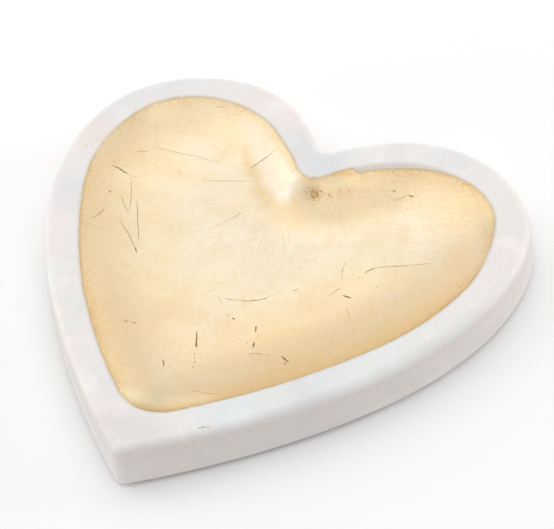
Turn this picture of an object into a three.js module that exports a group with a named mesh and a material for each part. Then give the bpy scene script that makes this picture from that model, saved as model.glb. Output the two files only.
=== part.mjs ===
// Heart-shaped trinket dish: a marble slab with a hollow carved into its top, gold leaf lining
// the hollow, and three felt pads stuck under the base.
// Millimetres, +Z up. The origin is under the middle of the dish, on the surface it stands on.
// +Y points from the tip of the heart to its notch, and the heart is symmetric about X = 0.

import * as THREE from 'three';

const degrees = THREE.MathUtils.degToRad;
const quarterTurn = Math.PI / 2;

// Marble body
const dishWidth = 150;
const dishLength = 149.6;
const marbleThickness = 15.5;
const topEdgeRadius = 2.8;
const bottomEdgeRadius = 1.2;

// Outer outline of the heart
const lobeTopSpacing = 67.7;
const notchDepth = 17.35;
const widestBelowLobeTops = 41.6;
const notchRadius = 4.7;
const tipRadius = 3.2;
const notchFlankAngle = degrees(47.9);
const tipFlankAngle = degrees(38.4);

// Flat rim left round the hollow
const rimAtSides = 9.4;
const rimAtLobes = 10.4;
const rimAtNotch = 11.4;
const rimAtTip = 16.5;

// Outline of the hollow, where it differs from the outer one
const hollowLobeShift = 1.8;
const hollowWidestShift = 3.1;
const hollowNoseRadius = 5.2;
const hollowTipRadius = 14.5;
const hollowNoseFlankAngle = degrees(47.6);
const hollowTipFlankAngle = degrees(39.5);

// Section of the hollow: a rounded lip, then one arc that starts at the wall angle and flattens
// towards the deepest point
const hollowDepth = 8.5;
const lipRadius = 1.5;
const wallAngle = degrees(34);

// Gold leaf lining
const leafThickness = 0.2;
const leafClearance = 0.3;
const leafEdgeInset = 0.8;

// Felt pads
const padDiameter = 12;
const padThickness = 1.2;
const padEdgeChamfer = 0.2;
const padInsetFromTip = 19;
const padInsetFromLobes = 17;

// Lengths of the curves' control arms, as shares of the sizes that the curves span
const outerArmShares = {
  notch: 0.44, lobeInner: 0.29, lobeOuter: 0.43, widestUpper: 0.76, widestLower: 0.34, tip: 0.45,
};
const hollowArmShares = {
  notch: 0.37, lobeInner: 0.33, lobeOuter: 0.655, widestUpper: 0.645, widestLower: 0.23, tip: 0.56,
};

// Place of the deepest point, as a share of the way from the hollow's tip to its nose
const bowlCentreShare = 0.6;

// Rings of the bowl, as shares of the way from the leaf's edge to the deepest point
const bowlRingShares = [0.05, 0.12, 0.2, 0.3, 0.4, 0.5, 0.6, 0.7, 0.8, 0.9];

// Power that blends distances to the hollow's edge, and what a straight edge one unit away sums to
const blendPower = 6;
const straightEdgeSum = 3 * Math.PI / 8;

// Numbers of steps
const curveSteps = [3, 7, 10, 14, 4];
const edgeCurveRefinement = 5;
const topEdgeSteps = 4;
const bottomEdgeSteps = 3;
const lipSteps = 3;
const padSides = 32;

// Heights
const baseZ = padThickness;
const rimZ = baseZ + marbleThickness;

// Outer outline and the outline of the hollow
const lobeTopY = dishLength / 2;
const outerHeart = {
  notchY: lobeTopY - notchDepth,
  lobe: new THREE.Vector2(lobeTopSpacing / 2, lobeTopY),
  widest: new THREE.Vector2(dishWidth / 2, lobeTopY - widestBelowLobeTops),
  tipY: lobeTopY - dishLength,
  notchRadius,
  notchAngle: notchFlankAngle,
  tipRadius,
  tipAngle: tipFlankAngle,
  armShares: outerArmShares,
};
const hollowHeart = {
  notchY: outerHeart.notchY - rimAtNotch,
  lobe: new THREE.Vector2(outerHeart.lobe.x + hollowLobeShift, outerHeart.lobe.y - rimAtLobes),
  widest: new THREE.Vector2(outerHeart.widest.x - rimAtSides, outerHeart.widest.y - hollowWidestShift),
  tipY: outerHeart.tipY + rimAtTip,
  notchRadius: hollowNoseRadius,
  notchAngle: hollowNoseFlankAngle,
  tipRadius: hollowTipRadius,
  tipAngle: hollowTipFlankAngle,
  armShares: hollowArmShares,
};

// Right half of a heart from notch to tip: an arc, three cubic curves and an arc
function halfHeartCurves(heart) {
  const { notchY, lobe, widest, tipY, armShares } = heart;
  const notchArc = new THREE.EllipseCurve(
    0, notchY + heart.notchRadius, heart.notchRadius, heart.notchRadius,
    -quarterTurn, heart.notchAngle - quarterTurn, false,
  );
  const tipArc = new THREE.EllipseCurve(
    0, tipY + heart.tipRadius, heart.tipRadius, heart.tipRadius,
    heart.tipAngle - quarterTurn, -quarterTurn, true,
  );
  const notchEnd = notchArc.getPoint(1);
  const tipStart = tipArc.getPoint(0);
  const belowWidest = widest.y - tipY;
  const arm = (from, angle, length) => new THREE.Vector2(
    from.x + length * Math.cos(angle),
    from.y + length * Math.sin(angle),
  );
  return [
    notchArc,
    new THREE.CubicBezierCurve(
      notchEnd,
      arm(notchEnd, heart.notchAngle, armShares.notch * lobe.x),
      arm(lobe, Math.PI, armShares.lobeInner * lobe.x),
      lobe,
    ),
    new THREE.CubicBezierCurve(
      lobe,
      arm(lobe, 0, armShares.lobeOuter * (widest.x - lobe.x)),
      arm(widest, quarterTurn, armShares.widestUpper * (lobe.y - widest.y)),
      widest,
    ),
    new THREE.CubicBezierCurve(
      widest,
      arm(widest, -quarterTurn, armShares.widestLower * belowWidest),
      arm(tipStart, heart.tipAngle, armShares.tip * belowWidest),
      tipStart,
    ),
    tipArc,
  ];
}

// Points of a whole heart with the directions into it, clockwise from the notch
function heartSamples(heart, refinement) {
  const curves = halfHeartCurves(heart);
  const right = [];
  curves.forEach((curve, index) => {
    const steps = curveSteps[index] * refinement;
    const lastStep = index === curves.length - 1 ? steps : steps - 1;
    for (let step = 0; step <= lastStep; step += 1) {
      const tangent = curve.getTangentAt(step / steps);
      right.push({
        point: curve.getPointAt(step / steps),
        inward: new THREE.Vector2(tangent.y, -tangent.x),
      });
    }
  });
  const left = right.slice(1, -1).reverse().map(({ point, inward }) => ({
    point: new THREE.Vector2(-point.x, point.y),
    inward: new THREE.Vector2(-inward.x, inward.y),
  }));
  return [...right, ...left];
}

const outerSamples = heartSamples(outerHeart, 1);
const hollowSamples = heartSamples(hollowHeart, 1);
const hollowEdge = heartSamples(hollowHeart, edgeCurveRefinement).map(({ point }) => point);
const bowlCentre = new THREE.Vector2(
  0,
  THREE.MathUtils.lerp(hollowHeart.tipY, hollowHeart.notchY, bowlCentreShare),
);

// Distance from a point in the hollow to its edge, blended: it is the plain distance beside a
// straight edge, and rounds off where edges come close together, as they do towards the tip
function blendedInset(point) {
  const sum = hollowEdge.reduce((total, from, index) => {
    const to = hollowEdge[(index + 1) % hollowEdge.length];
    const middle = from.clone().lerp(to, 1 / 2);
    return total + from.distanceTo(to) / middle.distanceTo(point) ** blendPower;
  }, 0);
  return (straightEdgeSum / sum) ** (1 / (blendPower - 1));
}

// Drop below the rim at an inset past the lip
const lipRun = lipRadius * Math.sin(wallAngle);
const lipDrop = lipRadius * (1 - Math.cos(wallAngle));
const bowlRadius = hollowDepth / (1 - Math.cos(wallAngle)) - lipRadius;

function bowlDrop(inset) {
  const sine = Math.max(Math.sin(wallAngle) - (inset - lipRun) / bowlRadius, 0);
  return lipDrop + bowlRadius * (Math.sqrt(1 - sine * sine) - Math.cos(wallAngle));
}

// Ring parallel to the outline that the samples follow
function parallelRing(samples, inset, z) {
  return samples.map(({ point, inward }) => {
    const moved = point.clone().addScaledVector(inward, inset);
    return new THREE.Vector3(moved.x, moved.y, z);
  });
}

const bowlPoint = ({ x, y }, lift) => new THREE.Vector3(
  x, y, rimZ - bowlDrop(blendedInset(new THREE.Vector2(x, y))) + lift,
);

// Rings from the leaf's edge down to the deepest point, raised by lift
function bowlRings(lift) {
  const edgeInset = lipRun + leafEdgeInset;
  const edgeRing = parallelRing(hollowSamples, edgeInset, rimZ - bowlDrop(edgeInset) + lift);
  const centre = new THREE.Vector3(bowlCentre.x, bowlCentre.y, 0);
  const inner = bowlRingShares.map((share) => (
    edgeRing.map((point) => bowlPoint(point.clone().lerp(centre, share), lift))
  ));
  return [edgeRing, ...inner];
}

// Closed surface from a pole through a list of rings, each clockwise from above, to another pole
function closedSurface(startPole, rings, endPole) {
  const count = rings[0].length;
  const vertices = [startPole, ...rings.flat(), endPole];
  const endIndex = vertices.length - 1;
  const indexAt = (ring, place) => 1 + ring * count + (place % count);
  const faces = [];
  for (let place = 0; place < count; place += 1) {
    faces.push(0, indexAt(0, place), indexAt(0, place + 1));
    for (let ring = 1; ring < rings.length; ring += 1) {
      const corner = indexAt(ring - 1, place + 1);
      faces.push(corner, indexAt(ring - 1, place), indexAt(ring, place));
      faces.push(corner, indexAt(ring, place), indexAt(ring, place + 1));
    }
    faces.push(endIndex, indexAt(rings.length - 1, place + 1), indexAt(rings.length - 1, place));
  }
  const geometry = new THREE.BufferGeometry().setFromPoints(vertices);
  geometry.setIndex(faces);
  geometry.computeVertexNormals();
  return geometry;
}

// Marble body: flat base, rounded outer edges, flat rim and the carved hollow
function marbleBodyGeometry() {
  const rings = [];
  for (let step = 0; step <= bottomEdgeSteps; step += 1) {
    const angle = quarterTurn * step / bottomEdgeSteps;
    rings.push(parallelRing(
      outerSamples,
      bottomEdgeRadius * (1 - Math.sin(angle)),
      baseZ + bottomEdgeRadius * (1 - Math.cos(angle)),
    ));
  }
  for (let step = 0; step <= topEdgeSteps; step += 1) {
    const angle = quarterTurn * step / topEdgeSteps;
    rings.push(parallelRing(
      outerSamples,
      topEdgeRadius * (1 - Math.cos(angle)),
      rimZ - topEdgeRadius * (1 - Math.sin(angle)),
    ));
  }
  for (let step = 0; step <= lipSteps; step += 1) {
    const angle = wallAngle * step / lipSteps;
    rings.push(parallelRing(
      hollowSamples,
      lipRadius * Math.sin(angle),
      rimZ - lipRadius * (1 - Math.cos(angle)),
    ));
  }
  rings.push(...bowlRings(0));
  const basePole = new THREE.Vector3(bowlCentre.x, bowlCentre.y, baseZ);
  return closedSurface(basePole, rings, bowlPoint(bowlCentre, 0));
}

// Gold leaf lining: a thin skin just clear of the wall and floor of the hollow
function goldLeafGeometry() {
  const underLift = leafClearance;
  const overLift = leafClearance + leafThickness;
  const rings = [...bowlRings(underLift).reverse(), ...bowlRings(overLift)];
  return closedSurface(bowlPoint(bowlCentre, underLift), rings, bowlPoint(bowlCentre, overLift));
}

// Felt pad: a disc with a softened lower edge, standing on Z = 0
function padGeometry() {
  const radius = padDiameter / 2;
  const profile = [
    new THREE.Vector2(0, 0),
    new THREE.Vector2(radius - padEdgeChamfer, 0),
    new THREE.Vector2(radius, padEdgeChamfer),
    new THREE.Vector2(radius, padThickness),
    new THREE.Vector2(0, padThickness),
  ];
  return new THREE.LatheGeometry(profile, padSides).rotateX(quarterTurn);
}

const marble = new THREE.MeshStandardMaterial({ color: 0xebe8e6, roughness: 0.45, metalness: 0 });
const goldLeaf = new THREE.MeshStandardMaterial({ color: 0xf3d9a4, roughness: 0.3, metalness: 1 });
const felt = new THREE.MeshStandardMaterial({ color: 0xd9d4ca, roughness: 1, metalness: 0 });

const dish = new THREE.Group();

function addPiece(name, geometry, material, x = 0, y = 0) {
  const mesh = new THREE.Mesh(geometry, material);
  mesh.name = name;
  mesh.position.set(x, y, 0);
  dish.add(mesh);
}

addPiece('marble_body', marbleBodyGeometry(), marble);
addPiece('gold_leaf_lining', goldLeafGeometry(), goldLeaf);

const lobePadY = outerHeart.lobe.y - padInsetFromLobes;
addPiece('foot_pad_tip', padGeometry(), felt, 0, outerHeart.tipY + padInsetFromTip);
addPiece('foot_pad_left', padGeometry(), felt, -outerHeart.lobe.x, lobePadY);
addPiece('foot_pad_right', padGeometry(), felt, outerHeart.lobe.x, lobePadY);

export default dish;
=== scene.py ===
# Heart-shaped trinket dish: a white marble slab with a hollow carved into its top, gold leaf laid in
# the hollow, and three felt pads under the base.
# Metres, +Z up. +Y runs from the tip of the heart to its notch. Both outlines are hearts that are
# symmetric about X = 0 but for small swells, and the hollow leans a little, as in the photograph.

import math

import bpy
import numpy as np
from mathutils import Matrix, Vector
from mathutils.bvhtree import BVHTree


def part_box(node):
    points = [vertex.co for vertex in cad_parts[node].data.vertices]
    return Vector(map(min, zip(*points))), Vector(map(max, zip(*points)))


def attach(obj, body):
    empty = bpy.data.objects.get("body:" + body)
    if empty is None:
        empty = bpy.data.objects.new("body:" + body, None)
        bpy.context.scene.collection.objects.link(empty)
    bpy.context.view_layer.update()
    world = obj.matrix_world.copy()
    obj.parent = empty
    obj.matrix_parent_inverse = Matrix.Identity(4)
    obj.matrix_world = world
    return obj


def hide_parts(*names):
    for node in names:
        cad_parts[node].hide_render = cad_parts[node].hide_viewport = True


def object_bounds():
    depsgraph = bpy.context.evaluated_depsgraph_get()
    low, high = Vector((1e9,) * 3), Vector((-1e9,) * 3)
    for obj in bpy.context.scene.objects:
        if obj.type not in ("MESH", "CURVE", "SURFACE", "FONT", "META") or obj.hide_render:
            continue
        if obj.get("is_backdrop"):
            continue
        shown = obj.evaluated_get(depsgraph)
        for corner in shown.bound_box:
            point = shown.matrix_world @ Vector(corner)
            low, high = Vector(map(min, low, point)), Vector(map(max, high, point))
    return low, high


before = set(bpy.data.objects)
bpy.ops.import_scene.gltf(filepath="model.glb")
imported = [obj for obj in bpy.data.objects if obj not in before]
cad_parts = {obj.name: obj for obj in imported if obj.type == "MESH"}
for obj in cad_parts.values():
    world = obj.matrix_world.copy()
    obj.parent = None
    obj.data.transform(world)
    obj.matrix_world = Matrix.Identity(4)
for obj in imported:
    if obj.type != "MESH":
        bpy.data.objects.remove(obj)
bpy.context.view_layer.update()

MM = 0.001
QUARTER_TURN = math.pi / 2
BODY = "root"

# Photograph and camera. The camera looks at a point on the rim's plane, which is at the middle of
# the picture.
PHOTO_WIDTH = 554
PHOTO_HEIGHT = 529
FOCAL_PX = 4000
SENSOR_WIDTH = 36
CAMERA_AZIMUTH = math.radians(32.65)
CAMERA_ELEVATION = math.radians(46.82)
CAMERA_ROLL = math.radians(-6.42)
CAMERA_DISTANCE = 1192.4 * MM
CAMERA_AIM_X = 8.55 * MM
CAMERA_AIM_Y = 8.72 * MM
CAMERA_REACH = 100

# Slab: its box comes from the frame, and these sizes shape its outline and its edges
slab_low, slab_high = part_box("marble_body")
BASE_Z = slab_low.z
RIM_Z = slab_high.z
NOTCH_DEPTH = 17.35 * MM
LOBE_TOP_X = 33.85 * MM
WIDEST_BELOW_LOBES = 41.6 * MM
TOP_EDGE_RADIUS = 2.8 * MM
BOTTOM_EDGE_RADIUS = 1.2 * MM

# The right end's top edge is honed softer than the rest
SOFT_EDGE_FROM_X = 48 * MM
SOFT_EDGE_TO_X = 70 * MM
SOFT_EDGE_SHARE = 0.4

# Hollow: how far its outline lies in from the slab's, and its section
RIM_AT_SIDES = 9.4 * MM
RIM_AT_LOBES = 10.4 * MM
RIM_AT_NOTCH = 11.4 * MM
RIM_AT_TIP = 16.5 * MM
HOLLOW_LOBE_SHIFT = 1.8 * MM
HOLLOW_WIDEST_SHIFT = 3.1 * MM
HOLLOW_DEPTH = 8.5 * MM
LIP_RADIUS = 1.5 * MM
WALL_ANGLE = math.radians(34)
BOWL_CENTRE_SHARE = 0.6

# Carved by hand, the hollow's tip leans a little to -X, and the wall below its nose keeps its slope
# for longer before it turns into the floor
HOLLOW_TIP_LEAN = 0.9 * MM
NOSE_REACH = 24 * MM
NOSE_STEEPER_FROM = 3 * MM
NOSE_STEEPER_SHARE = 0.45

# Both outlines lie a little in or out of their even hearts: the photograph's pixel there, how far
# in, and the reach along the outline, both in millimetres
SLAB_SWELL_PIXELS = (
    ((160, 82), 0.7, 18),
    ((294, 106), -0.25, 5),
    ((308, 128), 0.35, 5),
    ((316, 146), 1.3, 4.5),
    ((340, 152), -1.0, 8),
    ((372, 144), 0.2, 8),
    ((432, 144), 0.6, 12),
    ((531, 224), -0.35, 7),
    ((526, 290), 0.3, 8),
    ((500, 330), 0.4, 12),
    ((112, 472), 0.3, 10),
)
HOLLOW_SWELL_PIXELS = (
    ((80, 215), 1.0, 20),
    ((86, 285), 0.35, 18),
    ((287, 148), 0.8, 11),
    ((309, 177), 0.35, 7),
    ((457, 179), 0.45, 12),
    ((490, 246), 0.5, 10),
    ((413, 330), -0.3, 14),
    ((114, 386), -0.2, 8),
)

# Gold leaf: height over the stone, and how far it stops from the hollow's edge
LEAF_LIFT = 0.01 * MM
LEAF_THICKNESS = 0.02 * MM
LEAF_BED_DEPTH = 0.08 * MM
LEAF_UNDER_SINK = 0.04 * MM
LEAF_EDGE_INSET = 0.5 * MM
LEAF_EDGE_LEAST = 0.35 * MM
LEAF_EDGE_RAGGED = 0.1 * MM
BARE_LIP_WIDTH = 1.5 * MM

# Waves of the leaf's torn edge: their widths in columns of the outline, the share of each, and how
# many widths the soft window that smooths them reaches to each side
RAGGED_WIDTHS = (1, 3, 9)
RAGGED_SHARE = 0.5
WINDOW_REACH = 3

# Steps along half an outline: notch arc, three curves and tip arc
CURVE_STEPS = (8, 70, 84, 168, 18)
CURVE_REFINEMENT = 8

# Power that blends distances to the hollow's edge, and what a straight edge one unit away sums to
BLEND_POWER = 6
STRAIGHT_EDGE_SUM = 3 * math.pi / 8
BLEND_FROM = 0.8 * MM
BLEND_TO = 2.4 * MM
LEAST_GAP = 0.1 * MM
POINTS_AT_ONCE = 2000

# Hearts: places of the notch, of a lobe's highest point, of the widest point and of the tip, the
# round arcs at notch and tip, and the arms of the three curves between them as shares of their spans
slab_heart = {
    "notch_y": slab_high.y - NOTCH_DEPTH,
    "lobe": (LOBE_TOP_X, slab_high.y),
    "widest": (slab_high.x, slab_high.y - WIDEST_BELOW_LOBES),
    "tip_y": slab_low.y,
    "notch_radius": 4.7 * MM,
    "notch_angle": math.radians(47.9),
    "tip_radius": 3.2 * MM,
    "tip_angle": math.radians(38.4),
    "arm_shares": (0.44, 0.29, 0.43, 0.76, 0.34, 0.45),
}
hollow_heart = {
    "notch_y": slab_heart["notch_y"] - RIM_AT_NOTCH,
    "lobe": (LOBE_TOP_X + HOLLOW_LOBE_SHIFT, slab_high.y - RIM_AT_LOBES),
    "widest": (slab_high.x - RIM_AT_SIDES, slab_heart["widest"][1] - HOLLOW_WIDEST_SHIFT),
    "tip_y": slab_low.y + RIM_AT_TIP,
    "notch_radius": 5.2 * MM,
    "notch_angle": math.radians(47.6),
    "tip_radius": 14.5 * MM,
    "tip_angle": math.radians(39.5),
    "arm_shares": (0.37, 0.33, 0.655, 0.645, 0.23, 0.56),
}


def linear(code):
    """sRGB hex colour as linear red, green, blue and alpha."""
    shares = [int(code[place:place + 2], 16) / 255 for place in (1, 3, 5)]
    curve = [c / 12.92 if c <= 0.04045 else ((c + 0.055) / 1.055) ** 2.4 for c in shares]
    return (*curve, 1)


def add(tree, kind, inputs=None, **settings):
    """Adds a node with its settings. Each input gets a value, a socket, or the output of a node."""
    node = tree.nodes.new(kind)
    for name, value in settings.items():
        setattr(node, name, value)
    for place, value in (inputs or {}).items():
        if isinstance(value, bpy.types.Node):
            value = next(socket for socket in value.outputs if socket.enabled)
        if isinstance(value, bpy.types.NodeSocket):
            tree.links.new(value, node.inputs[place])
        else:
            node.inputs[place].default_value = value
    return node


# Camera, floor and light


def way_out(azimuth, elevation):
    """Direction from the object towards an azimuth, counted from -Y, and an elevation."""
    return Vector((
        math.sin(azimuth) * math.cos(elevation),
        -math.cos(azimuth) * math.cos(elevation),
        math.sin(elevation),
    ))


def camera_pose():
    """Camera's right, up and back directions, and its place."""
    back = way_out(CAMERA_AZIMUTH, CAMERA_ELEVATION)
    level = (-back).cross(Vector((0, 0, 1))).normalized()
    upright = level.cross(-back)
    right = math.cos(CAMERA_ROLL) * level + math.sin(CAMERA_ROLL) * upright
    up = math.cos(CAMERA_ROLL) * upright - math.sin(CAMERA_ROLL) * level
    place = Vector((CAMERA_AIM_X, CAMERA_AIM_Y, RIM_Z)) + back * CAMERA_DISTANCE
    return right, up, back, place


def make_camera():
    right, up, back, place = camera_pose()
    data = bpy.data.cameras.new("camera")
    data.sensor_width = SENSOR_WIDTH
    data.lens = FOCAL_PX * SENSOR_WIDTH / PHOTO_WIDTH
    data.clip_end = CAMERA_REACH
    camera = bpy.data.objects.new("camera", data)
    bpy.context.scene.collection.objects.link(camera)
    turn = Matrix((right, up, back)).transposed().to_4x4()
    camera.matrix_world = Matrix.Translation(place) @ turn
    bpy.context.scene.camera = camera


def sight_line(pixel):
    """Start and direction of the camera's ray through a pixel of the photograph."""
    right, up, back, place = camera_pose()
    across = (pixel[0] - PHOTO_WIDTH / 2) / FOCAL_PX
    down = (pixel[1] - PHOTO_HEIGHT / 2) / FOCAL_PX
    return place, (right * across - up * down - back).normalized()


FLOOR_SIZE = 12
FLOOR_PALE = "#F9F9F8"
FLOOR_ROUGHNESS = 0.9
FLOOR_GLOSS = 0.1
WORLD_PALE = "#FFFFFF"
WORLD_STRENGTH = 0.52
SOFTBOX_DISTANCE = 2

# Softboxes: name, azimuth and elevation in degrees that they shine from, width in metres and power
# in watts. A fit to the brightness of the photograph gave the powers and the world's strength.
SOFTBOXES = (
    ("low_right_back", 135, 12, 0.8, 11.3),
    ("low_back", 180, 12, 0.8, 1.4),
    ("low_back_left", 225, 12, 0.8, 0.9),
    ("low_left", 270, 12, 0.8, 4.1),
    ("low_front_left", 315, 12, 0.8, 5.5),
    ("back", 180, 34, 1.3, 1.1),
    ("back_left", 225, 34, 1.3, 1.7),
    ("left", 270, 34, 1.3, 2.4),
    ("high_back", 180, 60, 1.5, 4.8),
    ("high_back_left", 240, 60, 1.5, 3.4),
    ("high_front_left", 300, 60, 1.5, 4.2),
    ("high_right", 60, 60, 1.5, 6.2),
)


def make_floor():
    mesh = bpy.data.meshes.new("floor")
    half = FLOOR_SIZE / 2
    corners = [(-half, -half, 0), (half, -half, 0), (half, half, 0), (-half, half, 0)]
    mesh.from_pydata(corners, [], [(0, 1, 2, 3)])
    floor = bpy.data.objects.new("floor", mesh)
    bpy.context.scene.collection.objects.link(floor)
    paper = bpy.data.materials.new("matt_white_paper")
    paper.use_nodes = True
    shader = paper.node_tree.nodes["Principled BSDF"]
    shader.inputs["Base Color"].default_value = linear(FLOOR_PALE)
    shader.inputs["Roughness"].default_value = FLOOR_ROUGHNESS
    shader.inputs["Specular IOR Level"].default_value = FLOOR_GLOSS
    mesh.materials.append(paper)
    floor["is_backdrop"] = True


def make_light():
    world = bpy.data.worlds.new("studio")
    world.use_nodes = True
    background = world.node_tree.nodes["Background"]
    background.inputs["Color"].default_value = linear(WORLD_PALE)
    background.inputs["Strength"].default_value = WORLD_STRENGTH
    bpy.context.scene.world = world
    for name, azimuth, elevation, width, power in SOFTBOXES:
        towards = way_out(math.radians(azimuth), math.radians(elevation))
        data = bpy.data.lights.new(name, "AREA")
        data.shape = "SQUARE"
        data.size = width
        data.energy = power
        lamp = bpy.data.objects.new(name, data)
        turn = towards.to_track_quat("Z", "Y").to_matrix().to_4x4()
        lamp.matrix_world = Matrix.Translation(towards * SOFTBOX_DISTANCE) @ turn
        bpy.context.scene.collection.objects.link(lamp)
    bpy.context.scene.view_settings.view_transform = "Standard"


# Outlines and meshes


def curve_points(points, steps):
    """Points at even lengths along a cubic curve, without its last one."""
    corners = np.array(points)
    share = np.linspace(0, 1, steps * CURVE_REFINEMENT + 1)[:, None]
    rest = 1 - share
    weights = (rest ** 3, 3 * rest ** 2 * share, 3 * rest * share ** 2, share ** 3)
    fine = sum(weight * corner for weight, corner in zip(weights, corners))
    run = np.r_[0, np.cumsum(np.linalg.norm(np.diff(fine, axis=0), axis=1))]
    wanted = np.linspace(0, run[-1], steps + 1)[:-1]
    return np.c_[np.interp(wanted, run, fine[:, 0]), np.interp(wanted, run, fine[:, 1])]


def arc_points(angles, radius, low_y):
    """Points of an arc about X = 0, by their angles from its lowest point."""
    return np.c_[radius * np.sin(angles), low_y + radius * (1 - np.cos(angles))]


def heart_points(heart):
    """Points of a heart, clockwise from its notch."""
    lobe, widest = np.array(heart["lobe"]), np.array(heart["widest"])
    notch_inner, lobe_inner, lobe_outer, upper, lower, tip_arm = heart["arm_shares"]
    drop, rise = widest[1] - heart["tip_y"], lobe[1] - widest[1]
    span = widest[0] - lobe[0]
    notch_turns = np.linspace(0, heart["notch_angle"], CURVE_STEPS[0] + 1)
    tip_turns = np.linspace(heart["tip_angle"], 0, CURVE_STEPS[4] + 1)
    notch = arc_points(notch_turns, heart["notch_radius"], heart["notch_y"])
    tip = arc_points(tip_turns, heart["tip_radius"], heart["tip_y"])
    notch_way, tip_way = (np.array([math.cos(heart[angle]), math.sin(heart[angle])])
                          for angle in ("notch_angle", "tip_angle"))
    level, upright = np.array([1, 0]), np.array([0, 1])
    inner = (
        notch[-1], notch[-1] + notch_inner * lobe[0] * notch_way,
        lobe - lobe_inner * lobe[0] * level, lobe,
    )
    outer = (lobe, lobe + lobe_outer * span * level, widest + upper * rise * upright, widest)
    side = (widest, widest - lower * drop * upright, tip[0] + tip_arm * drop * tip_way, tip[0])
    right = np.vstack([
        notch[:-1],
        curve_points(inner, CURVE_STEPS[1]),
        curve_points(outer, CURVE_STEPS[2]),
        curve_points(side, CURVE_STEPS[3]),
        tip,
    ])
    return np.vstack([right, right[1:-1][::-1] * (-1, 1)])


def inward_ways(points):
    """Directions into a closed outline that runs clockwise."""
    along = np.roll(points, -1, axis=0) - np.roll(points, 1, axis=0)
    inward = np.c_[along[:, 1], -along[:, 0]]
    return inward / np.linalg.norm(inward, axis=1)[:, None]


def smooth_step(value):
    """Share that rises softly from 0 to 1 as a value does."""
    share = np.clip(value, 0, 1)
    return share * share * (3 - 2 * share)


def soften(values, width):
    """Values round a closed outline, averaged over a soft window of so many columns."""
    reach = WINDOW_REACH * width
    weights = np.exp(-(np.arange(-reach, reach + 1) / width) ** 2)
    wrapped = np.r_[values[-reach:], values, values[:reach]]
    return np.convolve(wrapped, weights / weights.sum(), "valid")


def toward(points, centre, share):
    """Points moved by a share of their way to a centre."""
    return points + (centre - points) * share


bowl_centre = np.array([
    0,
    hollow_heart["tip_y"] + (hollow_heart["notch_y"] - hollow_heart["tip_y"]) * BOWL_CENTRE_SHARE,
])
slab = heart_points(slab_heart)
hollow = heart_points(hollow_heart)
below_centre = (bowl_centre[1] - hollow[:, 1]) / (bowl_centre[1] - hollow_heart["tip_y"])
hollow[:, 0] -= HOLLOW_TIP_LEAN * smooth_step(below_centre)
COLUMNS = len(hollow)


def rim_spot(pixel):
    """Where a pixel's ray meets the rim's plane."""
    start, way = sight_line(pixel)
    spot = start + way * ((RIM_Z - start.z) / way.z)
    return np.array([spot.x, spot.y])


def swollen(outline, swells):
    """Outline with each swell, which fades out along it to both sides."""
    inward_by = np.zeros(COLUMNS)
    for pixel, depth, reach in swells:
        gaps = np.linalg.norm(outline - rim_spot(pixel), axis=1)
        inward_by += depth * MM * np.exp(-(gaps / (reach * MM)) ** 2)
    return outline + inward_ways(outline) * inward_by[:, None]


slab = swollen(slab, SLAB_SWELL_PIXELS)
slab_inward = inward_ways(slab)
hollow = swollen(hollow, HOLLOW_SWELL_PIXELS)
hollow_inward = inward_ways(hollow)
nose = hollow[0]


def hollow_insets(points):
    """Distance of points in from the hollow's edge: the plain one beside it, and further in a
    blended one, which rounds off where edges come close together and runs faster below the nose."""
    after = np.roll(hollow, -1, axis=0)
    run = after - hollow
    lengths = np.linalg.norm(run, axis=1)
    middles = (hollow + after) / 2
    found = []
    for start in range(0, len(points), POINTS_AT_ONCE):
        here = points[start:start + POINTS_AT_ONCE, None]
        share = np.clip(((here - hollow) * run).sum(-1) / lengths ** 2, 0, 1)
        plain = np.linalg.norm(here - hollow - share[..., None] * run, axis=-1).min(axis=1)
        gaps = np.maximum(((here - middles) ** 2).sum(-1), LEAST_GAP ** 2)
        total = (lengths / gaps ** (BLEND_POWER / 2)).sum(axis=1)
        blended = (STRAIGHT_EDGE_SUM / total) ** (1 / (BLEND_POWER - 1))
        further_in = smooth_step((plain - BLEND_FROM) / (BLEND_TO - BLEND_FROM))
        mixed = plain + (blended - plain) * further_in
        near_nose = np.exp(-((here[:, 0] - nose) ** 2).sum(-1) / NOSE_REACH ** 2)
        steeper = NOSE_STEEPER_SHARE * near_nose * np.maximum(mixed - NOSE_STEEPER_FROM, 0)
        found.append(mixed + steeper)
    return np.concatenate(found)


def make_ring(points, **kept):
    """Ring of points, with the values to keep on them: one for each point, or one for them all."""
    values = {key: np.full(len(points), value) if np.isscalar(value) else value
              for key, value in kept.items()}
    return {"points": points, **values}


def ring_mesh(name, start_pole, rings, end_pole):
    """Closed mesh from a pole through rings, each clockwise from above, to another pole."""
    parts = [start_pole, *rings, end_pole]
    count = len(rings[0]["points"])
    places = np.arange(count)
    nexts = (places + 1) % count
    first = 1
    faces = [(0, first + a, first + b) for a, b in zip(places, nexts)]
    for _ in rings[1:]:
        before, first = first, first + count
        faces += np.c_[before + nexts, before + places, first + places, first + nexts].tolist()
    faces += [(first + count, first + b, first + a) for a, b in zip(places, nexts)]
    joined = {key: np.concatenate([part[key] for part in parts]) for key in parts[0]}
    flat = joined.pop("points")
    mesh = bpy.data.meshes.new(name)
    mesh.from_pydata(np.c_[flat, np.full(len(flat), BASE_Z)].tolist(), [], faces)
    for key, values in joined.items():
        kind, slot = ("FLOAT_VECTOR", "vector") if values.ndim == 2 else ("FLOAT", "value")
        stored = mesh.attributes.new(key, kind, "POINT")
        stored.data.foreach_set(slot, values.astype(np.float32).ravel())
    return mesh


# Node trees that shape the pieces

FLOAT = "NodeSocketFloat"
VECTOR = "NodeSocketVector"
GEOMETRY = "NodeSocketGeometry"
MATERIAL = "NodeSocketMaterial"
HOLLOW_INPUTS = {"Hollow Depth": FLOAT, "Lip Radius": FLOAT, "Wall Angle": FLOAT}

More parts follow.
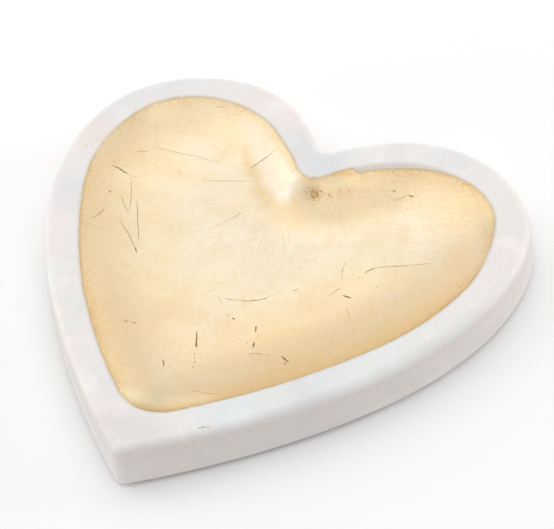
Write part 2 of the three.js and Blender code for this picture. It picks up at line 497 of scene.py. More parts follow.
# Torn and loose bits: how wide a sliver may get beside the width it is given, how small the smallest
# crumb and fibre are beside the largest, and how far a fibre may lean over, in radians
SLIVER_WIDEST = 1.25
SLIVER_SIDES = 6
CRUMB_SMALLEST = 0.35
FIBRE_SIDES = 3
FIBRE_STEPS = 4
FIBRE_SMALLEST = 0.3
FIBRE_LEAN = 0.4


def new_tree(name, sizes, result=GEOMETRY):
    """Geometry node tree with a named input for each size, and its start sockets."""
    tree = bpy.data.node_groups.new(name, "GeometryNodeTree")
    for label, kind in sizes.items():
        tree.interface.new_socket(label, in_out="INPUT", socket_type=kind)
    tree.interface.new_socket("Result", in_out="OUTPUT", socket_type=result)
    return tree, tree.nodes.new("NodeGroupInput").outputs


def finish_tree(tree, start, result):
    """Ends a tree that makes a piece: real geometry, shaded smooth, with its material."""
    real = add(tree, "GeometryNodeRealizeInstances", {0: result})
    smooth = add(tree, "GeometryNodeSetShadeSmooth", {0: real})
    dressed = add(tree, "GeometryNodeSetMaterial", {0: smooth, "Material": start["Material"]})
    add(tree, "NodeGroupOutput", {0: dressed})
    return tree


def make_piece(name, mesh, tree, values):
    """Runs a tree on a mesh, with its named inputs set, and keeps the result as a piece's mesh."""
    piece = bpy.data.objects.new(name, mesh)
    modifier = piece.modifiers.new("shape", "NODES")
    modifier.node_group = tree
    for socket in tree.interface.items_tree:
        if socket.in_out == "INPUT" and socket.name in values:
            modifier[socket.identifier] = values[socket.name]
    bpy.context.scene.collection.objects.link(piece)
    bpy.context.view_layer.update()
    finished = piece.evaluated_get(bpy.context.evaluated_depsgraph_get())
    shaped = bpy.data.meshes.new_from_object(finished)
    piece.modifiers.remove(modifier)
    piece.data = shaped
    shaped.name = name
    return piece


def bowl_drop_tree():
    """Drop below the rim at an inset: a rounded lip, then one arc that flattens to the middle."""
    tree, start = new_tree("bowl_drop", {"Inset": FLOAT, **HOLLOW_INPUTS}, FLOAT)
    inset, lip, wall = start["Inset"], start["Lip Radius"], start["Wall Angle"]
    wall_sine = add(tree, "ShaderNodeMath", {0: wall}, operation="SINE")
    wall_cosine = add(tree, "ShaderNodeMath", {0: wall}, operation="COSINE")
    lip_width = add(tree, "ShaderNodeMath", {0: lip, 1: wall_sine}, operation="MULTIPLY")
    on_lip = add(tree, "ShaderNodeMath", {0: inset, 1: lip_width}, operation="MINIMUM")
    lip_sine = add(tree, "ShaderNodeMath", {0: on_lip, 1: lip}, operation="DIVIDE")
    wall_fall = add(tree, "ShaderNodeMath", {0: 1.0, 1: wall_cosine}, operation="SUBTRACT")
    whole = add(tree, "ShaderNodeMath", {0: start["Hollow Depth"], 1: wall_fall}, operation="DIVIDE")
    radius = add(tree, "ShaderNodeMath", {0: whole, 1: lip}, operation="SUBTRACT")
    past_lip = add(tree, "ShaderNodeMath", {0: inset, 1: on_lip}, operation="SUBTRACT")
    turned = add(tree, "ShaderNodeMath", {0: past_lip, 1: radius}, operation="DIVIDE")
    sine_left = add(tree, "ShaderNodeMath", {0: wall_sine, 1: turned}, operation="SUBTRACT")
    bowl_sine = add(tree, "ShaderNodeMath", {0: sine_left, 1: 0.0}, operation="MAXIMUM")
    cosines = []
    for sine in (lip_sine, bowl_sine):
        angle = add(tree, "ShaderNodeMath", {0: sine}, operation="ARCSINE")
        cosines.append(add(tree, "ShaderNodeMath", {0: angle}, operation="COSINE"))
    lip_fall = add(tree, "ShaderNodeMath", {0: 1.0, 1: cosines[0]}, operation="SUBTRACT")
    bowl_fall = add(tree, "ShaderNodeMath", {0: cosines[1], 1: wall_cosine}, operation="SUBTRACT")
    bowl = add(tree, "ShaderNodeMath", {0: radius, 1: bowl_fall}, operation="MULTIPLY")
    drop = add(tree, "ShaderNodeMath", {0: lip, 1: lip_fall, 2: bowl}, operation="MULTIPLY_ADD")
    add(tree, "NodeGroupOutput", {0: drop})
    return tree


def carve_slab_tree(bowl_drop):
    """Turns the flat blank into the slab: rounded edges, an upright side and the carved hollow, all
    a little uneven as hand honing leaves them, and one nick."""
    tree, start = new_tree("carve_slab", {
        "Blank": GEOMETRY, "Thickness": FLOAT, "Top Edge Radius": FLOAT, "Bottom Edge Radius": FLOAT,
        **HOLLOW_INPUTS, "Bed Depth": FLOAT, "Bed Start": FLOAT, "Bed End": FLOAT,
        "Edge Variation": FLOAT, "Wave Depth": FLOAT, "Wave Spacing": FLOAT,
        "Nick Place": VECTOR, "Nick Radius": FLOAT, "Nick Depth": FLOAT, "Seed": FLOAT,
        "Material": MATERIAL,
    })
    position = add(tree, "GeometryNodeInputPosition")
    inward = add(tree, "GeometryNodeInputNamedAttribute", {"Name": "inward"},
                 data_type="FLOAT_VECTOR")
    hold, lower, upper, side, softness, inset = (
        add(tree, "GeometryNodeInputNamedAttribute", {"Name": name}, data_type="FLOAT")
        for name in ("hold", "lower_turn", "upper_turn", "side_share", "softness", "hollow_inset"))

    # Top edge's radius, which varies round the heart
    wave_scale = add(tree, "ShaderNodeMath", {0: 1.0, 1: start["Wave Spacing"]}, operation="DIVIDE")
    uneven = add(tree, "ShaderNodeTexNoise",
                 {"Vector": position, "W": start["Seed"], "Scale": wave_scale, "Detail": 1},
                 noise_dimensions="4D")
    offbeat = add(tree, "ShaderNodeMath", {0: uneven, 1: 0.5}, operation="SUBTRACT")
    variation = add(tree, "ShaderNodeMath", {0: offbeat, 1: start["Edge Variation"], 2: softness},
                    operation="MULTIPLY_ADD")
    top_radius = add(tree, "ShaderNodeMath", {0: start["Top Edge Radius"], 1: variation},
                     operation="MULTIPLY")
    low_radius = start["Bottom Edge Radius"]

    # Both rounded edges: how far in and up each point of the blank goes
    turns = []
    for share in (lower, upper):
        angle = add(tree, "ShaderNodeMath", {0: share, 1: QUARTER_TURN}, operation="MULTIPLY")
        turns += [add(tree, "ShaderNodeMath", {0: angle}, operation=kind) for kind in ("SINE", "COSINE")]
    low_sine, low_cosine, top_sine, top_cosine = turns
    low_in_share, low_up_share, top_in_share = (
        add(tree, "ShaderNodeMath", {0: 1.0, 1: value}, operation="SUBTRACT")
        for value in (low_sine, low_cosine, top_cosine))
    low_in = add(tree, "ShaderNodeMath", {0: low_radius, 1: low_in_share}, operation="MULTIPLY")
    low_up = add(tree, "ShaderNodeMath", {0: low_radius, 1: low_up_share}, operation="MULTIPLY")
    held_in = add(tree, "ShaderNodeMath", {0: top_radius, 1: top_in_share, 2: low_in},
                  operation="MULTIPLY_ADD")
    edges_up = add(tree, "ShaderNodeMath", {0: top_radius, 1: top_sine, 2: low_up},
                   operation="MULTIPLY_ADD")
    both_radii = add(tree, "ShaderNodeMath", {0: low_radius, 1: top_radius})
    straight = add(tree, "ShaderNodeMath", {0: start["Thickness"], 1: both_radii},
                   operation="SUBTRACT")
    solid_up = add(tree, "ShaderNodeMath", {0: side, 1: straight, 2: edges_up},
                   operation="MULTIPLY_ADD")

    # Hollow, with a bed for the leaf
    drop = add(tree, "GeometryNodeGroup",
               {"Inset": inset, **{label: start[label] for label in HOLLOW_INPUTS}},
               node_tree=bowl_drop)
    bed = add(tree, "ShaderNodeMapRange", {
        "Value": inset, "From Min": start["Bed Start"], "From Max": start["Bed End"],
        "To Max": start["Bed Depth"],
    })
    bed_drop = add(tree, "ShaderNodeMath", {0: drop, 1: bed})
    height = add(tree, "ShaderNodeMath", {0: solid_up, 1: bed_drop}, operation="SUBTRACT")
    reach_in = add(tree, "ShaderNodeMath", {0: hold, 1: held_in}, operation="MULTIPLY")
    sideways = add(tree, "ShaderNodeVectorMath", {0: inward, "Scale": reach_in}, operation="SCALE")
    upwards = add(tree, "ShaderNodeCombineXYZ", {"Z": height})
    moved = add(tree, "ShaderNodeVectorMath", {0: sideways, 1: upwards})
    solid = add(tree, "GeometryNodeSetPosition", {0: start["Blank"], "Offset": moved})

    # Waves of the honing, and the nick
    normal = add(tree, "GeometryNodeInputNormal")
    dip = add(tree, "ShaderNodeMath", {0: uneven, 1: 1.0}, operation="SUBTRACT")
    wave_depth = add(tree, "ShaderNodeMath", {0: start["Wave Depth"], 1: hold}, operation="MULTIPLY")
    wave = add(tree, "ShaderNodeMath", {0: dip, 1: wave_depth}, operation="MULTIPLY")
    gap = add(tree, "ShaderNodeVectorMath", {0: position, 1: start["Nick Place"]},
              operation="DISTANCE")
    nick = add(tree, "ShaderNodeMapRange", {
        "Value": gap, "From Max": start["Nick Radius"], "To Min": start["Nick Depth"], "To Max": 0.0,
    }, interpolation_type="SMOOTHSTEP")
    push = add(tree, "ShaderNodeMath", {0: wave, 1: nick}, operation="SUBTRACT")
    pushed = add(tree, "ShaderNodeVectorMath", {0: normal, "Scale": push}, operation="SCALE")
    honed = add(tree, "GeometryNodeSetPosition", {0: solid, "Offset": pushed})
    return finish_tree(tree, start, honed)


def lay_leaf_tree(bowl_drop):
    """Drops the flat leaf onto the hollow, with the soft unevenness of leaf laid by hand."""
    tree, start = new_tree("lay_leaf", {
        "Sheet": GEOMETRY, "Rim Height": FLOAT, **HOLLOW_INPUTS, "Lift": FLOAT, "Thickness": FLOAT,
        "Under Sink": FLOAT, "Wrinkle Height": FLOAT, "Wrinkle Spacing": FLOAT, "Flat Edge": FLOAT,
        "Seed": FLOAT, "Material": MATERIAL,
    })
    position = add(tree, "GeometryNodeInputPosition")
    inset, face_up, edge = (
        add(tree, "GeometryNodeInputNamedAttribute", {"Name": name}, data_type="FLOAT")
        for name in ("hollow_inset", "face_up", "edge_inset"))
    drop = add(tree, "GeometryNodeGroup",
               {"Inset": inset, **{label: start[label] for label in HOLLOW_INPUTS}},
               node_tree=bowl_drop)
    scale = add(tree, "ShaderNodeMath", {0: 1.0, 1: start["Wrinkle Spacing"]}, operation="DIVIDE")
    noise = add(tree, "ShaderNodeTexNoise", {
        "Vector": position, "W": start["Seed"], "Scale": scale, "Detail": 3, "Distortion": 0.6,
    }, noise_dimensions="4D")
    from_edge = add(tree, "ShaderNodeMapRange", {"Value": edge, "From Max": start["Flat Edge"]})
    wrinkle_height = add(tree, "ShaderNodeMath", {0: start["Wrinkle Height"], 1: from_edge},
                         operation="MULTIPLY")
    skin = add(tree, "ShaderNodeMath", {0: noise, 1: wrinkle_height, 2: start["Thickness"]},
               operation="MULTIPLY_ADD")
    over = add(tree, "ShaderNodeMath", {0: face_up, 1: skin, 2: start["Lift"]},
               operation="MULTIPLY_ADD")
    face_down = add(tree, "ShaderNodeMath", {0: 1.0, 1: face_up}, operation="SUBTRACT")
    sink_share = add(tree, "ShaderNodeMath", {0: face_down, 1: from_edge}, operation="MULTIPLY")
    sink = add(tree, "ShaderNodeMath", {0: sink_share, 1: start["Under Sink"]}, operation="MULTIPLY")
    above = add(tree, "ShaderNodeMath", {0: over, 1: sink}, operation="SUBTRACT")
    floor_height = add(tree, "ShaderNodeMath", {0: start["Rim Height"], 1: drop},
                       operation="SUBTRACT")
    height = add(tree, "ShaderNodeMath", {0: floor_height, 1: above})
    offset = add(tree, "ShaderNodeCombineXYZ", {"Z": height})
    laid = add(tree, "GeometryNodeSetPosition", {0: start["Sheet"], "Offset": offset})
    return finish_tree(tree, start, laid)


def slivers_tree():
    """Turns the lines of a mesh into flat ragged slivers, each point as wide as the mesh says."""
    tree, start = new_tree("leaf_slivers", {
        "Lines": GEOMETRY, "Flatness": FLOAT, "Step": FLOAT, "Grain": FLOAT, "Thinnest": FLOAT,
        "Seed": FLOAT, "Material": MATERIAL,
    })
    half_width = add(tree, "GeometryNodeInputNamedAttribute", {"Name": "half_width"},
                     data_type="FLOAT")
    curves = add(tree, "GeometryNodeMeshToCurve", {0: start["Lines"]})
    fine = add(tree, "GeometryNodeResampleCurve", {0: curves, "Length": start["Step"]},
               mode="LENGTH")
    upright = add(tree, "GeometryNodeSetCurveNormal", {0: fine}, mode="Z_UP")
    position = add(tree, "GeometryNodeInputPosition")
    grain_scale = add(tree, "ShaderNodeMath", {0: 1.0, 1: start["Grain"]}, operation="DIVIDE")
    grain = add(tree, "ShaderNodeTexNoise",
                {"Vector": position, "W": start["Seed"], "Scale": grain_scale, "Detail": 1},
                noise_dimensions="4D")
    torn = add(tree, "ShaderNodeMapRange", {
        "Value": grain, "From Min": 0.35, "From Max": 0.65, "To Min": start["Thinnest"],
        "To Max": SLIVER_WIDEST,
    })
    width = add(tree, "ShaderNodeMath", {0: half_width, 1: torn}, operation="MULTIPLY")
    ring = add(tree, "GeometryNodeCurvePrimitiveCircle", {"Resolution": SLIVER_SIDES, "Radius": 1.0})
    squash = add(tree, "ShaderNodeCombineXYZ", {"X": 1.0, "Y": start["Flatness"], "Z": 1.0})
    profile = add(tree, "GeometryNodeTransform", {0: ring, "Scale": squash})
    tube = add(tree, "GeometryNodeCurveToMesh",
               {0: upright, 1: profile, "Scale": width, "Fill Caps": True})
    return finish_tree(tree, start, tube)


def leaf_crumbs_tree():
    """Scatters small loose flakes of leaf, thickly along the leaf's torn edge and thinly inside it."""
    tree, start = new_tree("leaf_crumbs", {
        "Leaf": GEOMETRY, "Edge Width": FLOAT, "Edge Start": FLOAT, "Density": FLOAT,
        "Crumb Radius": FLOAT, "Flatness": FLOAT, "Seed": FLOAT, "Material": MATERIAL,
    })
    edge, tarnish, face_up = (
        add(tree, "GeometryNodeInputNamedAttribute", {"Name": name}, data_type="FLOAT")
        for name in ("edge_inset", "tarnish", "face_up"))
    fall = add(tree, "ShaderNodeMapRange", {
        "Value": edge, "From Min": start["Edge Start"], "From Max": start["Edge Width"],
        "To Min": 1.0, "To Max": 0.0,
    })
    over = add(tree, "FunctionNodeCompare", {0: edge, 1: start["Edge Start"]},
               operation="GREATER_THAN")
    sharp_fall = add(tree, "ShaderNodeMath", {0: fall, 1: 2.0}, operation="POWER")
    top_fall = add(tree, "ShaderNodeMath", {0: sharp_fall, 1: face_up}, operation="MULTIPLY")
    share = add(tree, "ShaderNodeMath", {0: top_fall, 1: tarnish}, operation="MULTIPLY")
    seed = add(tree, "FunctionNodeFloatToInt", {0: start["Seed"]})
    spots = add(tree, "GeometryNodeDistributePointsOnFaces", {
        "Mesh": start["Leaf"], "Selection": over, "Distance Min": start["Crumb Radius"],
        "Density Max": start["Density"], "Density Factor": share, "Seed": seed,
    }, distribute_method="POISSON")
    crumb = add(tree, "GeometryNodeMeshIcoSphere", {"Radius": start["Crumb Radius"], "Subdivisions": 1})
    size = add(tree, "FunctionNodeRandomValue", {2: CRUMB_SMALLEST, 3: 1.0, "Seed": seed},
               data_type="FLOAT")
    thin = add(tree, "ShaderNodeMath", {0: size, 1: start["Flatness"]}, operation="MULTIPLY")
    scale = add(tree, "ShaderNodeCombineXYZ", {"X": size, "Y": size, "Z": thin})
    scattered = add(tree, "GeometryNodeInstanceOnPoints", {
        "Points": spots, "Instance": crumb, "Rotation": spots.outputs["Rotation"], "Scale": scale,
    })
    return finish_tree(tree, start, scattered)


def press_pad_tree():
    """Roughens a felt pad's round side and sets short loose fibres on it, as cut felt has."""
    tree, start = new_tree("press_pad", {
        "Pad": GEOMETRY, "Lowest Fibre": FLOAT, "Highest Fibre": FLOAT, "Density": FLOAT,
        "Fibre Length": FLOAT, "Fibre Radius": FLOAT, "Nap Depth": FLOAT, "Nap Spacing": FLOAT,
        "Seed": FLOAT, "Material": MATERIAL,
    })
    position = add(tree, "GeometryNodeInputPosition")
    normal = add(tree, "GeometryNodeInputNormal")
    nap_scale = add(tree, "ShaderNodeMath", {0: 1.0, 1: start["Nap Spacing"]}, operation="DIVIDE")
    nap = add(tree, "ShaderNodeTexNoise",
              {"Vector": position, "W": start["Seed"], "Scale": nap_scale, "Detail": 2},
              noise_dimensions="4D")
    nap_in = add(tree, "ShaderNodeMath", {0: nap, 1: 1.0}, operation="SUBTRACT")
    nap_push = add(tree, "ShaderNodeMath", {0: nap_in, 1: start["Nap Depth"]}, operation="MULTIPLY")
    nap_way = add(tree, "ShaderNodeVectorMath", {0: normal, 1: (1, 1, 0)}, operation="MULTIPLY")
    pushed = add(tree, "ShaderNodeVectorMath", {0: nap_way, "Scale": nap_push}, operation="SCALE")
    napped = add(tree, "GeometryNodeSetPosition", {0: start["Pad"], "Offset": pushed})

    # Fibres stand on the side only, clear of the table and of the stone
    height = add(tree, "ShaderNodeSeparateXYZ", {0: position}).outputs["Z"]
    above = add(tree, "FunctionNodeCompare", {0: height, 1: start["Lowest Fibre"]},
                operation="GREATER_THAN")
    below = add(tree, "FunctionNodeCompare", {0: height, 1: start["Highest Fibre"]},
                operation="LESS_THAN")
    on_side = add(tree, "FunctionNodeBooleanMath", {0: above, 1: below}, operation="AND")
    seed = add(tree, "FunctionNodeFloatToInt", {0: start["Seed"]})
    roots = add(tree, "GeometryNodeDistributePointsOnFaces", {
        "Mesh": napped, "Selection": on_side, "Density": start["Density"], "Seed": seed,
    }, distribute_method="RANDOM")
    length, thickness = start["Fibre Length"], start["Fibre Radius"]
    middle = add(tree, "ShaderNodeCombineXYZ", {"X": thickness, "Z": length})
    bent = add(tree, "ShaderNodeCombineXYZ", {"X": length, "Z": length})
    strand = add(tree, "GeometryNodeCurveQuadraticBezier",
                 {"Resolution": FIBRE_STEPS, "Start": (0, 0, 0), "Middle": middle, "End": bent})
    ring = add(tree, "GeometryNodeCurvePrimitiveCircle",
               {"Resolution": FIBRE_SIDES, "Radius": thickness})
    fibre = add(tree, "GeometryNodeCurveToMesh", {0: strand, 1: ring, "Fill Caps": True})
    spin = add(tree, "FunctionNodeRandomValue", {
        0: (-FIBRE_LEAN, -FIBRE_LEAN, 0), 1: (FIBRE_LEAN, FIBRE_LEAN, math.tau), "Seed": seed,
    }, data_type="FLOAT_VECTOR")
    turned = add(tree, "FunctionNodeRotateRotation", {0: roots.outputs["Rotation"], 1: spin},
                 rotation_space="LOCAL")
    size = add(tree, "FunctionNodeRandomValue", {2: FIBRE_SMALLEST, 3: 1.0, "Seed": seed},
               data_type="FLOAT")
    fibres = add(tree, "GeometryNodeInstanceOnPoints", {
        "Points": roots, "Instance": fibre, "Rotation": turned, "Scale": size,
    })
    joined = add(tree, "GeometryNodeJoinGeometry", {0: napped})
    tree.links.new(fibres.outputs[0], joined.inputs[0])
    return finish_tree(tree, start, joined)


# Materials


def new_material(name):
    material = bpy.data.materials.new(name)
    material.use_nodes = True
    tree = material.node_tree
    place = add(tree, "ShaderNodeTexCoord").outputs["Object"]
    return material, tree, tree.nodes["Principled BSDF"], place


def tinted(tree, colour, tints):
    """Colour with tints laid over it in turn, each by its share."""
    for share, tint in tints:
        colour = add(tree, "ShaderNodeMix", {"Factor": share, 6: colour, 7: linear(tint)},
                     data_type="RGBA")
    return colour


def tinted_stretches(tree, place, ragged, softness, colour, stretches):
    """Colour with ragged-edged stretches of other tints: each runs from a start to an end, with a
    radius, a tint and a strength, and fades over a share of its radius."""
    for start, end, radius, tint, amount in stretches:
        way = end - start
        along = add(tree, "ShaderNodeVectorMath", {0: place, 1: start}, operation="SUBTRACT")
        run = add(tree, "ShaderNodeVectorMath", {0: along, 1: way / max(way.length_squared, MM ** 2)},
                  operation="DOT_PRODUCT")
        share = add(tree, "ShaderNodeClamp", {0: run.outputs["Value"]})
        nearest = add(tree, "ShaderNodeVectorMath", {0: way, "Scale": share}, operation="SCALE")
        gap = add(tree, "ShaderNodeVectorMath", {0: along, 1: nearest}, operation="DISTANCE")
        reach = add(tree, "ShaderNodeMath", {0: ragged, 1: radius, 2: gap.outputs["Value"]},
                    operation="MULTIPLY_ADD")
        shown = add(tree, "ShaderNodeMapRange", {
            "Value": reach, "From Min": radius * (1 - softness), "From Max": radius * (1 + softness),
            "To Min": amount, "To Max": 0.0,
        }, interpolation_type="SMOOTHSTEP")
        colour = tinted(tree, colour, [(shown, tint)])
    return colour


# Marble: its ground, and its soft clouds, each with a tint, its spacing in millimetres, the noise
# that it starts at and is full at, its strength and its seed
STONE_GROUND = "#E7E4E2"
STONE_CLOUDS = (
    ("#D9DADD", 22, 0.45, 0.75, 0.8, 3),
    ("#F0E1DA", 30, 0.48, 0.7, 0.6, 11),
    ("#DDE4DD", 26, 0.5, 0.72, 0.6, 19),
    ("#F1EFEE", 9, 0.52, 0.68, 0.6, 27),
)
PATCH_RAG_SIZE = 7 * MM
PATCH_SOFTNESS = 0.6
STAIN_SOFTNESS = 0.5

# Painted shade on the side: where it is full and where it ends, and how much higher it reaches at the tip
SIDE_SHADE_TINT = "#D8D0CA"
SIDE_SHADE_FULL_Z = RIM_Z - 1.4 * TOP_EDGE_RADIUS
SIDE_SHADE_END_Z = RIM_Z - 0.35 * TOP_EDGE_RADIUS
SIDE_SHADE_LIFT = 1.3 * MM
SIDE_SHADE_LIFT_FULL_Y = -70 * MM
SIDE_SHADE_LIFT_END_Y = -25 * MM
SIDE_MOTTLE_SIZE = 0.7 * MM

# A darker beige band on the bare lip and the rim's inner edge
LIP_BAND_TINT = "#D8CDBB"
FINE_NOISE_SIZE = 0.5 * MM
LIP_BAND_RAG = 0.6 * MM
LIP_BAND_FULL = 0.2 * MM
LIP_BAND_END = 0.9 * MM
CRYSTAL_TINT = "#FBFAF9"
CRYSTAL_SIZE = 0.7 * MM
HONING_SIZE = 0.4 * MM
HONING_DEPTH = 0.02 * MM
STONE_GLOW = 0.3
STONE_GLOW_REACH = 2.5 * MM
STONE_GLOW_SHARES = (1, 0.92, 0.86)


def clouded_stone(tree, place, patches):
    """Ground of the stone, with clouds and patches that lie deep in it."""
    clouds = []
    for tint, spacing, low, high, amount, seed in STONE_CLOUDS:
        cloud = add(tree, "ShaderNodeTexNoise", {
            "Vector": place, "W": seed, "Scale": 1 / (spacing * MM), "Detail": 5, "Distortion": 0.7,
        }, noise_dimensions="4D")
        share = add(tree, "ShaderNodeMapRange",
                    {"Value": cloud, "From Min": low, "From Max": high, "To Max": amount})
        clouds.append((share, tint))
    colour = tinted(tree, linear(STONE_GROUND), clouds)
    ragged = add(tree, "ShaderNodeTexNoise", {"Vector": place, "Scale": 1 / PATCH_RAG_SIZE, "Detail": 3})
    return tinted_stretches(tree, place, ragged, PATCH_SOFTNESS, colour, patches)


def painted_side_shade(tree, place):
    """Painted shade on the upright side, mottled: full below the rounded edge, less towards the base,
    and reaching higher on that edge towards the tip."""
    parts = add(tree, "ShaderNodeSeparateXYZ", {0: place})
    height = parts.outputs["Z"]
    lift = add(tree, "ShaderNodeMapRange", {
        "Value": parts.outputs["Y"], "From Min": SIDE_SHADE_LIFT_FULL_Y, "From Max": SIDE_SHADE_LIFT_END_Y,
        "To Min": SIDE_SHADE_LIFT, "To Max": 0.0,
    })
    lowered = add(tree, "ShaderNodeMath", {0: height, 1: lift}, operation="SUBTRACT")
    side = add(tree, "ShaderNodeMapRange", {
        "Value": lowered, "From Min": SIDE_SHADE_FULL_Z, "From Max": SIDE_SHADE_END_Z, "To Min": 0.95, "To Max": 0.0,
    }, interpolation_type="SMOOTHSTEP")
    low = add(tree, "ShaderNodeMapRange", {
        "Value": height, "From Min": BASE_Z, "From Max": SIDE_SHADE_FULL_Z, "To Min": 0.25,
    })
    side_mottle = add(tree, "ShaderNodeTexNoise", {"Vector": place, "Scale": 1 / SIDE_MOTTLE_SIZE, "Detail": 4})
    mottle = add(tree, "ShaderNodeMapRange",
                 {"Value": side_mottle, "From Min": 0.35, "From Max": 0.65, "To Min": 0.7, "To Max": 1.2})
    side_shade = 1.0
    for share in (side, low, mottle):
        side_shade = add(tree, "ShaderNodeMath", {0: side_shade, 1: share}, operation="MULTIPLY")
    return side_shade


def honed_white_marble(patches, stains):
    """White marble cut from one slab and honed by hand: soft clouds deep in the stone, a satin
    surface, painted shade on the upright side, and edges that glow because light travels through the
    stone."""
    material, tree, shader, place = new_material("honed_white_marble")
    colour = clouded_stone(tree, place, patches)
    # Painted shade on the upright side
    colour = tinted(tree, colour, [(painted_side_shade(tree, place), SIDE_SHADE_TINT)])

    # A darker beige band on the bare lip and the rim's inner edge, and stains
    rim_gap = add(tree, "ShaderNodeAttribute", attribute_name="rim_gap").outputs["Fac"]
    fine_noise = add(tree, "ShaderNodeTexNoise", {"Vector": place, "Scale": 1 / FINE_NOISE_SIZE, "Detail": 2})
    lip_band_gap = add(tree, "ShaderNodeMath", {0: fine_noise, 1: LIP_BAND_RAG, 2: rim_gap},
                   operation="MULTIPLY_ADD")
    lip_band = add(tree, "ShaderNodeMapRange", {
        "Value": lip_band_gap, "From Min": LIP_BAND_FULL, "From Max": LIP_BAND_END, "To Min": 0.55,
        "To Max": 0.0,
    })
    colour = tinted(tree, colour, [(lip_band, LIP_BAND_TINT)])
    colour = tinted_stretches(tree, place, fine_noise, STAIN_SOFTNESS, colour, stains)

    # Crystals that catch the light, and the fine relief that honing leaves
    crystals = add(tree, "ShaderNodeTexVoronoi", {"Vector": place, "Scale": 1 / CRYSTAL_SIZE})
    crystal = add(tree, "ShaderNodeSeparateColor", {0: crystals.outputs["Color"]})
    speckle = add(tree, "ShaderNodeMapRange",
                  {"Value": crystal, "From Min": 0.7, "From Max": 1.0, "To Max": 0.12})
    colour = tinted(tree, colour, [(speckle, CRYSTAL_TINT)])
    gloss = add(tree, "ShaderNodeMapRange", {"Value": crystal, "To Min": 0.42, "To Max": 0.52})
    hone = add(tree, "ShaderNodeTexNoise", {"Vector": place, "Scale": 1 / HONING_SIZE, "Detail": 3})
    bump = add(tree, "ShaderNodeBump", {"Height": hone, "Distance": HONING_DEPTH, "Strength": 0.5})
    tree.links.new(colour.outputs[2], shader.inputs["Base Color"])
    tree.links.new(gloss.outputs[0], shader.inputs["Roughness"])
    tree.links.new(bump.outputs[0], shader.inputs["Normal"])
    shader.inputs["IOR"].default_value = 1.5
    shader.inputs["Subsurface Weight"].default_value = STONE_GLOW
    shader.inputs["Subsurface Radius"].default_value = STONE_GLOW_SHARES
    shader.inputs["Subsurface Scale"].default_value = STONE_GLOW_REACH
    return material


# Gold leaf: its tints, and the real sizes of its patterns
LEAF_WALL_TINT = "#F4DEB8"
# Painted highlight: the leaf pales towards the middle, from this far in to this far
LEAF_HIGHLIGHT_TINT = "#EAE2CE"
LEAF_HIGHLIGHT_FROM = 2 * MM
LEAF_HIGHLIGHT_FULL = 24 * MM
LEAF_CLOUD_TINT = "#EBD2A9"
LEAF_CLOUD_SIZE = 11 * MM
LEAF_GRAIN_TINT = "#E2C596"
LEAF_GRAIN_SIZE = 0.5 * MM
LEAF_RELIEF = 0.03 * MM

# Band of beads along the torn edge, tinted with painted shade, and the thin grey line where the leaf ends
# in size
EDGE_BAND_SHADE_TINT = "#DAAA62"
BAND_FULL = 0.2 * MM
BAND_END = 4.5 * MM
BEAD_SIZE = 0.85 * MM
# The thin grey line also carries painted shade beside the lip
END_LINE_AND_SHADE_TINT = "#CFBC95"
END_LINE_FULL = 0.15 * MM
END_LINE_END = 1.0 * MM

TONE_RAG_SIZE = 2.5 * MM
TONE_SOFTNESS = 1.2
# Creases are darkened with this tint, which is painted shade
CREASE_SHADE_TINT = "#D9B27A"
CREASE_SHADE_SHARE = 0.55
WRINKLE_SIZE = 5 * MM
WRINKLE_STRENGTH = 0.4
FAN_LINE_LENGTH = 16 * MM
STROKE_TINT = "#DDB880"
STROKE_SHARE = 0.34
STROKE_LENGTH = 22 * MM
RUB_HAZE_TINT = "#D9B478"
RUB_HAZE_SHARE = 0.38
RUBBED_SIZE_TINT = "#9C7538"
RUB_SPECKLE_SIZE = 0.42 * MM


def leaf_ground(tree, edge, clouds, grain):
    """Colour of the leaf: paled in the middle by painted highlight, deeper towards the wall, with clouds
    and grain.
    """
    inside = add(tree, "ShaderNodeMapRange", {
        "Value": edge, "From Min": LEAF_HIGHLIGHT_FROM, "From Max": LEAF_HIGHLIGHT_FULL,
    }, interpolation_type="SMOOTHSTEP")
    cloud_share = add(tree, "ShaderNodeMapRange",
                      {"Value": clouds, "From Min": 0.42, "From Max": 0.7, "To Max": 0.4})
    grainy = add(tree, "ShaderNodeMapRange", {"Value": grain, "From Min": 0.36, "From Max": 0.66})
    grain_depth = add(tree, "ShaderNodeMapRange", {"Value": inside, "To Min": 0.52, "To Max": 0.34})
    grain_share = add(tree, "ShaderNodeMath", {0: grainy, 1: grain_depth}, operation="MULTIPLY")
    # The floor tint is painted highlight that pales the middle
    return tinted(tree, linear(LEAF_WALL_TINT), [
        (inside, LEAF_HIGHLIGHT_TINT), (cloud_share, LEAF_CLOUD_TINT), (grain_share, LEAF_GRAIN_TINT),
    ])


def beaded_band(tree, place, edge):
    """Strength of the beads that the torn edge breaks into, which thin out towards the middle."""
    near_edge = add(tree, "ShaderNodeMapRange", {
        "Value": edge, "From Min": BAND_FULL, "From Max": BAND_END, "To Min": 1.0, "To Max": 0.0,
    })
    band = add(tree, "ShaderNodeMath", {0: near_edge, 1: 2.0}, operation="POWER")
    beads = add(tree, "ShaderNodeTexNoise",
                {"Vector": place, "Scale": 1 / BEAD_SIZE, "Detail": 2, "Distortion": 0.6})
    beaded = add(tree, "ShaderNodeMapRange",
                 {"Value": beads, "From Min": 0.42, "From Max": 0.58, "To Min": 0.05, "To Max": 1.2})
    return add(tree, "ShaderNodeMath", {0: band, 1: beaded}, operation="MULTIPLY")


def middle_lines(tree, pattern, width, strength):
    """Thin lines where a noise pattern passes its middle."""
    middle = add(tree, "ShaderNodeMath", {0: pattern, 1: 0.5}, operation="SUBTRACT")
    apart = add(tree, "ShaderNodeMath", {0: middle}, operation="ABSOLUTE")
    return add(tree, "ShaderNodeMapRange",
               {"Value": apart, "From Max": width, "To Min": strength, "To Max": 0.0})


